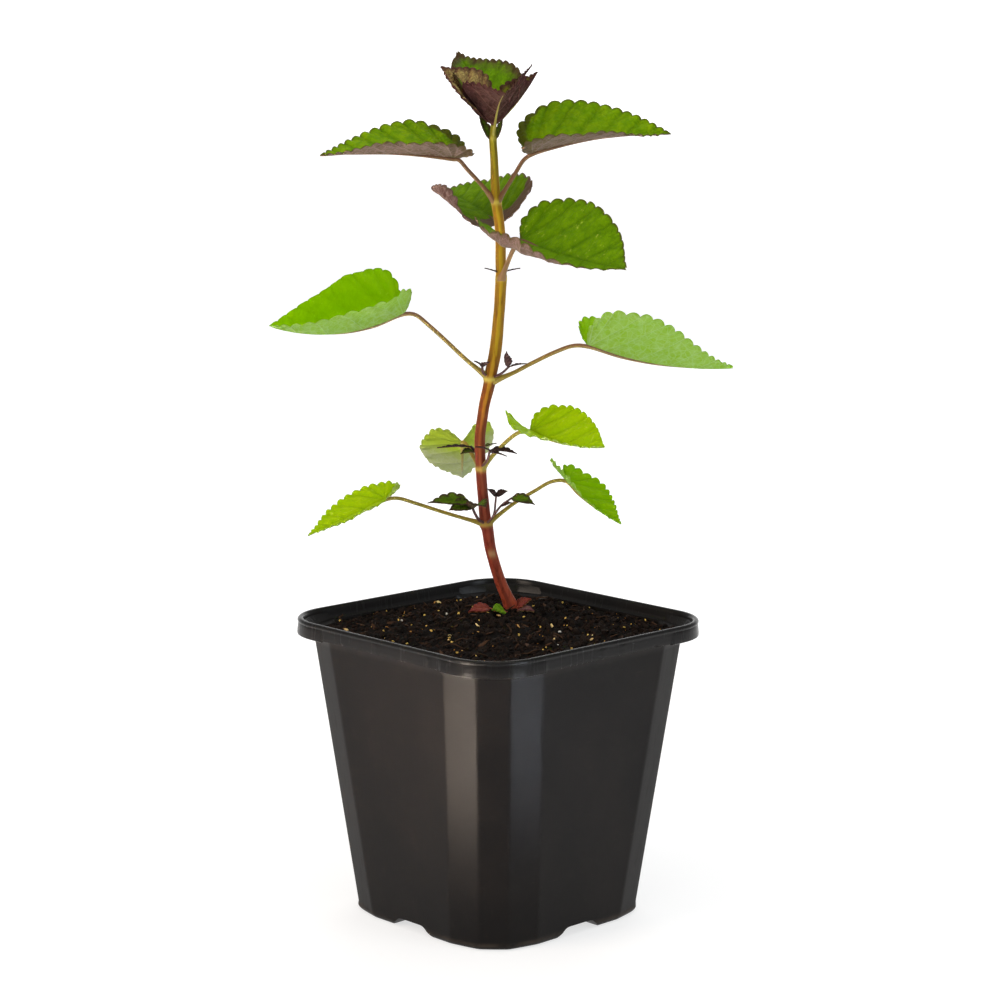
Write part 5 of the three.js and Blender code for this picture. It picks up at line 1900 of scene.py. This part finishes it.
class GrainTree(Nodes):
    """A Geometry Nodes tree that strews grains over the top of a surface."""

    INPUTS = {
        "Grains": "Collection", "Density": "Float", "Seed": "Int", "Smallest": "Float", "Largest": "Float",
        "Tilt": "Float", "Lift": "Float", "Lowest": "Float",
    }
    LEAST_UPWARD = 0.25

    def __init__(self, name: str, material: Material) -> None:
        """Builds the tree with its named inputs.

        Args:
            name: The tree's name.
            material: The material of every grain.
        """
        super().__init__(bpy.data.node_groups.new(name, "GeometryNodeTree"))
        face = self.tree.interface
        for way in ("INPUT", "OUTPUT"):
            face.new_socket("Geometry", in_out=way, socket_type="NodeSocketGeometry")
        self.sockets = {
            label: face.new_socket(label, in_out="INPUT", socket_type=f"NodeSocket{kind}").identifier
            for label, kind in self.INPUTS.items()
        }
        self.inputs = self.node("NodeGroupInput").outputs
        self.wire_up(material)

    def given(self, label: str) -> Wire:
        """What the modifier gives the tree under a label."""
        return Wire(self, self.inputs[label])

    def above(self, value: Wire, least: Wire | float) -> Wire:
        """Whether a value is greater than another."""
        return self.wire("FunctionNodeCompare", 0, {"operation": "GREATER_THAN"}, {0: value, 1: least})

    def drawn(self, kind: str, output: int, values: dict) -> Wire:
        """Numbers drawn at random for every grain from the seed."""
        values = {**values, 8: self.given("Seed")}
        return self.wire("FunctionNodeRandomValue", output, {"data_type": kind}, values)

    def strewn_points(self) -> tuple[Wire, Wire]:
        """Strews points over the surface, lifts them off it and tells each its tone.

        Returns:
            The points, and which way the surface faces at each.
        """
        upward = self.split(self.wire("GeometryNodeInputNormal", 0), "Z")
        height = self.split(self.wire("GeometryNodeInputPosition", 0), "Z")
        top = self.wire(
            "FunctionNodeBooleanMath", 0, {"operation": "AND"},
            {0: self.above(upward, self.LEAST_UPWARD), 1: self.above(height, self.given("Lowest"))},
        )
        bed = self.wire(
            "GeometryNodeSeparateGeometry", 0, {"domain": "FACE"},
            {"Geometry": self.given("Geometry"), "Selection": top},
        )
        strewn = self.node(
            "GeometryNodeDistributePointsOnFaces", None,
            {"Mesh": bed, "Density": self.given("Density"), "Seed": self.given("Seed")},
        )
        points, normal, facing = (Wire(self, strewn.outputs[key]) for key in (0, "Normal", "Rotation"))
        lift = self.wire(
            "ShaderNodeVectorMath", 0, {"operation": "SCALE"}, {0: normal, "Scale": self.given("Lift")}
        )
        moved = self.wire("GeometryNodeSetPosition", 0, None, {"Geometry": points, "Offset": lift})
        toned = self.wire(
            "GeometryNodeStoreNamedAttribute", 0, {"data_type": "FLOAT", "domain": "POINT"},
            {"Geometry": moved, "Name": "tone", "Value": self.drawn("FLOAT", 1, {})},
        )
        return toned, facing

    def wire_up(self, material: Material) -> None:
        """Strews points, stands a grain on each, turned and sized at random, and gives it the material.

        Args:
            material: The material of every grain.
        """
        points, facing = self.strewn_points()
        tilt = self.given("Tilt")
        low, high = (
            self.wire("ShaderNodeCombineXYZ", 0, None, {0: lean, 1: lean, 2: about})
            for lean, about in ((tilt * -1.0, -math.pi), (tilt, math.pi))
        )
        turn = self.drawn("FLOAT_VECTOR", 0, {0: low, 1: high})
        spin = self.wire("FunctionNodeRotateRotation", 0, {"rotation_space": "LOCAL"}, {0: facing, 1: turn})
        size = self.drawn("FLOAT", 1, {2: self.given("Smallest"), 3: self.given("Largest")})
        kinds = self.wire(
            "GeometryNodeCollectionInfo", 0, {"transform_space": "ORIGINAL"},
            {"Collection": self.given("Grains"), "Separate Children": True, "Reset Children": True},
        )
        stood = self.wire(
            "GeometryNodeInstanceOnPoints", 0, None,
            {"Points": points, "Instance": kinds, "Pick Instance": True, "Rotation": spin, "Scale": size},
        )
        real = self.wire("GeometryNodeRealizeInstances", 0, None, {0: stood})
        worn = self.wire("GeometryNodeSetMaterial", 0, None, {"Geometry": real, "Material": material})
        self.node("NodeGroupOutput", None, {0: worn})


@dataclass(frozen=True)
class Grains:
    """One kind of grain in the compost, and how it is strewn. Its density is to the square metre."""

    name: str
    finish: SoilFinish
    density: float
    seed: int
    smallest: float
    largest: float
    stretch: Point
    tilt: float = 1.5
    lift: float = 0.0
    bend: float = 0.0
    kinds: int = 4
    corners: int = 16

    def lump(self, seed: int) -> Piece:
        """One angular grain, about one unit across.

        Args:
            seed: What its shape is drawn from.

        Returns:
            The grain.
        """
        draw = np.random.default_rng(seed)
        points = unit(draw.normal(size=(self.corners, 3))) * draw.uniform(0.36, 0.5, (self.corners, 1))
        points *= np.array(self.stretch)
        points[:, 2] += self.bend * points[:, 0] ** 2
        shape = bmesh.new()
        for point in points:
            shape.verts.new(point)
        hull = bmesh.ops.convex_hull(shape, input=shape.verts)
        inner = {corner for corner in hull["geom_unused"] + hull["geom_interior"] if corner.is_valid}
        bmesh.ops.delete(shape, geom=list(inner), context="VERTS")
        mesh = bpy.data.meshes.new(f"{self.name}_{seed}")
        shape.to_mesh(mesh)
        shape.free()
        return bpy.data.objects.new(mesh.name, mesh)

    def thread(self, seed: int) -> Piece:
        """One bent fibre, about one unit long.

        Args:
            seed: What its bends are drawn from.

        Returns:
            The fibre.
        """
        draw = np.random.default_rng(seed)
        way = [(x, draw.uniform(-0.14, 0.14), draw.uniform(0, 0.16)) for x in np.linspace(-0.5, 0.5, 5)]
        draft = Draft()
        Rod(way, [0.012, 0.03, 0.034, 0.026, 0.01], sides=5, rings=9).draw(draft)
        draft.marks.clear()
        made = draft.piece(f"{self.name}_{seed}", [])
        made.data.transform(Matrix.Scale(1 / MM, 4))
        bpy.context.scene.collection.objects.unlink(made)
        return made

    def strew(self, surface: Piece, lowest: float) -> None:
        """Strews the grains over a surface, as one plain mesh.

        Args:
            surface: What they lie on.
            lowest: The lowest height that takes any.
        """
        shapes = bpy.data.collections.new(self.name + "_shapes")
        for kind in range(self.kinds):
            seed = 100 * self.seed + kind
            shapes.objects.link(self.thread(seed) if self.corners == 0 else self.lump(seed))
        grower = GrainTree(self.name + "_tree", self.finish.make())
        bed = set_out(self.name + "_bed", surface.data)
        modifier = bed.modifiers.new("strew", "NODES")
        modifier.node_group = grower.tree
        for label, value in (
            ("Grains", shapes),
            ("Density", self.density),
            ("Seed", self.seed),
            ("Smallest", self.smallest * MM),
            ("Largest", self.largest * MM),
            ("Tilt", self.tilt),
            ("Lift", self.lift * MM),
            ("Lowest", lowest * MM),
        ):
            modifier[grower.sockets[label]] = value
        mesh = modified(bed)
        bpy.data.objects.remove(bed)
        for shape in list(shapes.objects):
            bpy.data.objects.remove(shape)
        mesh.name = self.name
        made = set_out(self.name, mesh)
        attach(made, BODY)
        LOG.info("%s: %d faces", self.name, len(mesh.polygons))


# Each kind of grain gives its fields in order: name, finish, density, seed, smallest, largest, stretch, and
# some of them tilt, lift and bend too.
GRAINS = (
    Grains(
        "compost_crumbs", SoilFinish("compost_crumb", (10, 6, 5), (36, 23, 16), 0.85, 900.0),
        260000.0, 3, 0.7, 2.6, (1, 0.9, 0.75), lift=0.1,
    ),
    Grains(
        "compost_clods", SoilFinish("compost_clod", (8, 5, 4), (27, 18, 13), 0.85, 700.0),
        42000.0, 5, 2.4, 5.0, (1, 0.85, 0.65), lift=0.2, corners=26,
    ),
    Grains(
        "bark_chips", SoilFinish("bark_chip", (24, 15, 10), (66, 43, 27), 0.7, 500.0),
        9000.0, 7, 3.0, 7.0, (1, 0.34, 0.16), 0.6, 0.5, 0.3,
    ),
    Grains(
        "golden_flecks", SoilFinish("golden_fleck", (160, 100, 30), (238, 200, 104), 0.5, 900.0),
        8600.0, 11, 0.5, 2.1, (1, 0.66, 0.42), 1.2, 0.6,
    ),
    Grains(
        "straw_bits", SoilFinish("straw_bit", (176, 118, 48), (242, 214, 150), 0.5, 700.0),
        2600.0, 13, 2.0, 4.8, (1, 0.36, 0.2), 0.8, 0.7, 0.4,
    ),
    Grains(
        "pale_grit", SoilFinish("pale_grit", (176, 168, 158), (232, 228, 220), 0.45, 500.0),
        700.0, 17, 1.1, 2.2, (1, 0.8, 0.6), 1.2, 0.6,
    ),
    Grains(
        "root_fibres", SoilFinish("root_fibre", (20, 13, 9), (56, 38, 24), 0.7, 700.0),
        3600.0, 19, 5.0, 11.0, (1, 1, 1), 0.35, 0.4, corners=0,
    ),
)


@dataclass
class Compost:
    """The compost: a lumpy surface that rises a little round the stem, and what lies loose in it."""

    pot: Pot
    edge_height: float = 117.2
    mound: float = 3.6
    lumps: float = 0.9
    crumble: float = 1.5
    rings: int = 64
    gap: float = 0.3
    arch_clearance: float = 1.7
    lowest_grain: float = 114.0
    foot_at: tuple[float, float] = (5.5, 27.5)
    finish: SoilFinish = SoilFinish("damp_compost", (10, 6, 5), (30, 20, 15), 0.88, 600.0)
    grains: Sequence[Grains] = GRAINS

    def height(self, x: Array, y: Array, share: float) -> Array:
        """How high the surface is.

        Args:
            x: Places along X.
            y: Places along Y.
            share: How far out from the mound the places are, from 0 to 1 at the wall.

        Returns:
            Heights.
        """
        lumps = np.sin(0.31 * x + 0.17 * y) * np.cos(0.23 * y - 0.11 * x)
        lumps += 0.6 * np.sin(0.71 * x - 0.43 * y + 1.3) * np.cos(0.57 * y + 0.39 * x)
        rise = self.mound * (1 - share) ** 1.4
        crumbs = np.array(
            [noise.fractal(Vector((a * 0.16, b * 0.16, 3.0)), 0.8, 2.1, 5) for a, b in zip(x, y)]
        )
        lumps_fade, crumbs_fade = (min(1, (1 - share) * times) for times in (5, 12))
        rough = self.lumps * lumps * lumps_fade
        return self.edge_height + rise + rough + self.crumble * crumbs * crumbs_fade

    def build(self) -> None:
        """Builds the compost, cuts it clear of the pot's arches and strews its grains."""
        rings = self.pot.inner_rings(self.gap, self.edge_height)
        edge = rings[-1]
        centre = turned(np.array([[*self.foot_at, 0.0]]), PLANT_TURN)[0]
        for k in range(1, self.rings + 1):
            share = 1 - k / (self.rings + 0.6)
            x = centre[0] + (edge[:, 0] - centre[0]) * share
            y = centre[1] + (edge[:, 1] - centre[1]) * share
            rings.append(np.column_stack([x, y, self.height(x, y, share)]))
        cutter = self.pot.arch_cross(self.arch_clearance)
        soil = joined_solid(solid("compost", rings), cutter, "DIFFERENCE")
        finish_solid(soil, "compost", self.finish.make())
        stand_for(soil, "soil", "soil")
        for kind in self.grains:
            kind.strew(soil, self.lowest_grain)


# Studio


@dataclass(frozen=True)
class Viewpoint:
    """The camera: where it stands about the pot, in degrees and millimetres."""

    azimuth: float = -43.665
    elevation: float = 9.732
    roll: float = 0.136
    distance: float = 1131.1
    target: Point = (0.776, 0.0, 172.337)
    lens: float = 99.87

    def build(self) -> None:
        """Sets up the camera and makes it the scene's own."""
        e, r = math.radians(self.elevation), math.radians(self.roll)
        back = Vector((0, -math.cos(e), math.sin(e)))
        level = Vector((1, 0, 0))
        upright = level.cross(-back)
        right = level * math.cos(r) + upright * math.sin(r)
        up = upright * math.cos(r) - level * math.sin(r)
        placed = Matrix((right, up, back)).transposed().to_4x4()
        placed.translation = (Vector(self.target) + back * self.distance) * MM
        made = set_out("camera", bpy.data.cameras.new("camera"))
        made.data.lens = self.lens
        made.data.sensor_width = 36
        made.data.clip_start = 0.01
        made.matrix_world = Matrix.Rotation(math.radians(self.azimuth), 4, "Z") @ placed
        bpy.context.scene.camera = made


@dataclass(frozen=True)
class Softbox:
    """A soft light in metres, at angles round from the camera and up, as seen from where it is aimed.

    The aim is in the camera's own frame, x to its right and y away from it.
    """

    name: str
    around: float
    up: float
    distance: float
    width: float
    tall: float
    watts: float
    colour: tuple[float, float, float]
    aim: Point = (0.0, 0.0, 0.17)
    spread: float = 180.0
    mirrored: bool = True

    def build(self, view: Viewpoint) -> None:
        """Hangs the light.

        Args:
            view: The camera that the angles count from.
        """
        data = bpy.data.lights.new(self.name, "AREA")
        data.shape = "RECTANGLE"
        data.size, data.size_y = self.width, self.tall
        data.energy = self.watts
        data.color = self.colour
        data.spread = math.radians(self.spread)
        made = set_out(self.name, data)
        made.visible_glossy = self.mirrored
        angle = math.radians(view.azimuth + self.around - 90)
        rise = math.radians(self.up)
        way = Vector((math.cos(angle) * math.cos(rise), math.sin(angle) * math.cos(rise), math.sin(rise)))
        aim = Matrix.Rotation(math.radians(view.azimuth), 4, "Z") @ Vector(self.aim)
        made.location = aim + way * self.distance
        made.rotation_euler = way.to_track_quat("Z", "Y").to_euler()


@dataclass(frozen=True)
class Studio:
    """A white floor that glows a little, and less near the pot as a painted shadow, a far white wall, and
    soft light, warm left, cool right.
    """

    view: Viewpoint = Viewpoint()
    floor_half: float = 9000.0
    floor_glow: float = 0.84
    wall_at: float = 8500.0
    wall_foot: float = -10.0
    wall_top: float = 2600.0
    wall_glow: float = 1.1
    sky_strength: float = 0.42
    seen_sky: float = 1.05
    lights: Sequence[Softbox] = (
        Softbox("warm_key", -62, 24, 1.5, 0.7, 1.0, 13.0, (1.0, 0.84, 0.70)),
        Softbox("cool_fill", 60, 22, 1.7, 0.7, 1.0, 7.0, (0.82, 0.91, 1.0)),
        Softbox("top_light", 12, 76, 1.5, 1.2, 1.2, 7.5, (1.0, 0.99, 0.96)),
        Softbox("back_light", 168, 40, 1.7, 1.2, 0.8, 9.0, (1.0, 1.0, 0.97), mirrored=False),
        Softbox("floor_wash", -60, 89, 0.5, 0.05, 0.3, 4.6, (1.0, 0.84, 0.7), (-0.226, -0.204, 0.0), 9.0),
        Softbox("rim_wash", -46, 89, 0.6, 0.12, 0.3, 12.0, (1.0, 0.86, 0.74), (-0.53, -0.5, 0.0), 20.0),
        Softbox("cool_rim_wash", 44, 89, 0.6, 0.12, 0.3, 8.0, (0.82, 0.92, 1.0), (0.5, -0.53, 0.0), 20.0),
        Softbox("cool_wash", 60, 89, 0.5, 0.05, 0.26, 1.5, (0.8, 0.88, 1.0), (0.226, -0.204, 0.0), 9.0),
    )

    def sheet(self, name: str, corners: Sequence[Point], glow: float) -> None:
        """Lays a large plain sheet that belongs to the studio, its glow dimmed near the middle as a painted
        shadow round the pot.

        Args:
            name: Its name.
            corners: Its four corners, in the camera's frame.
            glow: How brightly it shines by itself.
        """
        shader = Shader(name)
        cloud = shader.noise(shader.place(), 3.0, 2.0)
        colour = shader.mix(cloud * 0.3, (0.40, 0.40, 0.40, 1.0), (0.42, 0.42, 0.42, 1.0))
        # Painted shadow: the glow is dimmed from full far out to 0.8 near the middle, which darkens the
        # floor round the pot's foot.
        x, y = (shader.split(shader.place(), axis) for axis in "XY")
        far = shader.between(shader.maths("SQRT", x * x + y * y), 0.1, 0.8)
        glow_with_painted_shadow = shader.mix(far, (0.8, 0.8, 0.8, 1.0), (1.0, 1.0, 1.0, 1.0))
        further = {"Emission Color": glow_with_painted_shadow, "Emission Strength": glow, "Specular IOR Level": 0.2}
        draft = Draft()
        draft.add(np.array(corners, float), [(0, 1, 2, 3)])
        material = shader.dress(colour, 0.9, shader.bump(cloud, 0.1, 0.1), further)
        draft.piece(name, [material], math.radians(self.view.azimuth))

    def build(self) -> None:
        """Lays the floor, stands the wall, lights the sky and hangs the lights."""
        self.view.build()
        for light in self.lights:
            light.build(self.view)
        world = bpy.data.worlds.new("white_room")
        world.use_nodes = True
        nodes = Nodes(world.node_tree)
        backdrop = nodes.tree.nodes["Background"]
        backdrop.inputs["Color"].default_value = (1.0, 1.0, 1.0, 1.0)
        camera_ray = nodes.wire("ShaderNodeLightPath", "Is Camera Ray")
        more_seen = self.seen_sky - self.sky_strength
        strength = nodes.maths("MULTIPLY_ADD", camera_ray, more_seen, self.sky_strength)
        nodes.tree.links.new(strength.socket, backdrop.inputs["Strength"])
        bpy.context.scene.world = world
        half, wall, foot_z, top_z = self.floor_half, self.wall_at, self.wall_foot, self.wall_top
        floor = ((-half, -half, 0), (half, -half, 0), (half, half, 0), (-half, half, 0))
        screen = ((-half, wall, foot_z), (half, wall, foot_z), (half, wall, top_z), (-half, wall, top_z))
        self.sheet("studio_floor", floor, self.floor_glow)
        self.sheet("studio_wall", screen, self.wall_glow)
        settings = bpy.context.scene.view_settings
        settings.view_transform = "Standard"
        settings.look = "None"
        LOG.info("studio ready")


def main() -> None:
    """Builds the studio, the pot, the compost and the plant."""
    logging.basicConfig(level=logging.INFO, format="%(name)s: %(message)s")
    Studio().build()
    pot = Pot()
    for part in (pot, Compost(pot), Stem()):
        part.build()
    wardrobe = Wardrobe()
    for part in (*LEAVES, *SHOOTS, *FOOT_GROWTH):
        part.build(wardrobe)


if __name__ == "__main__":
    main()
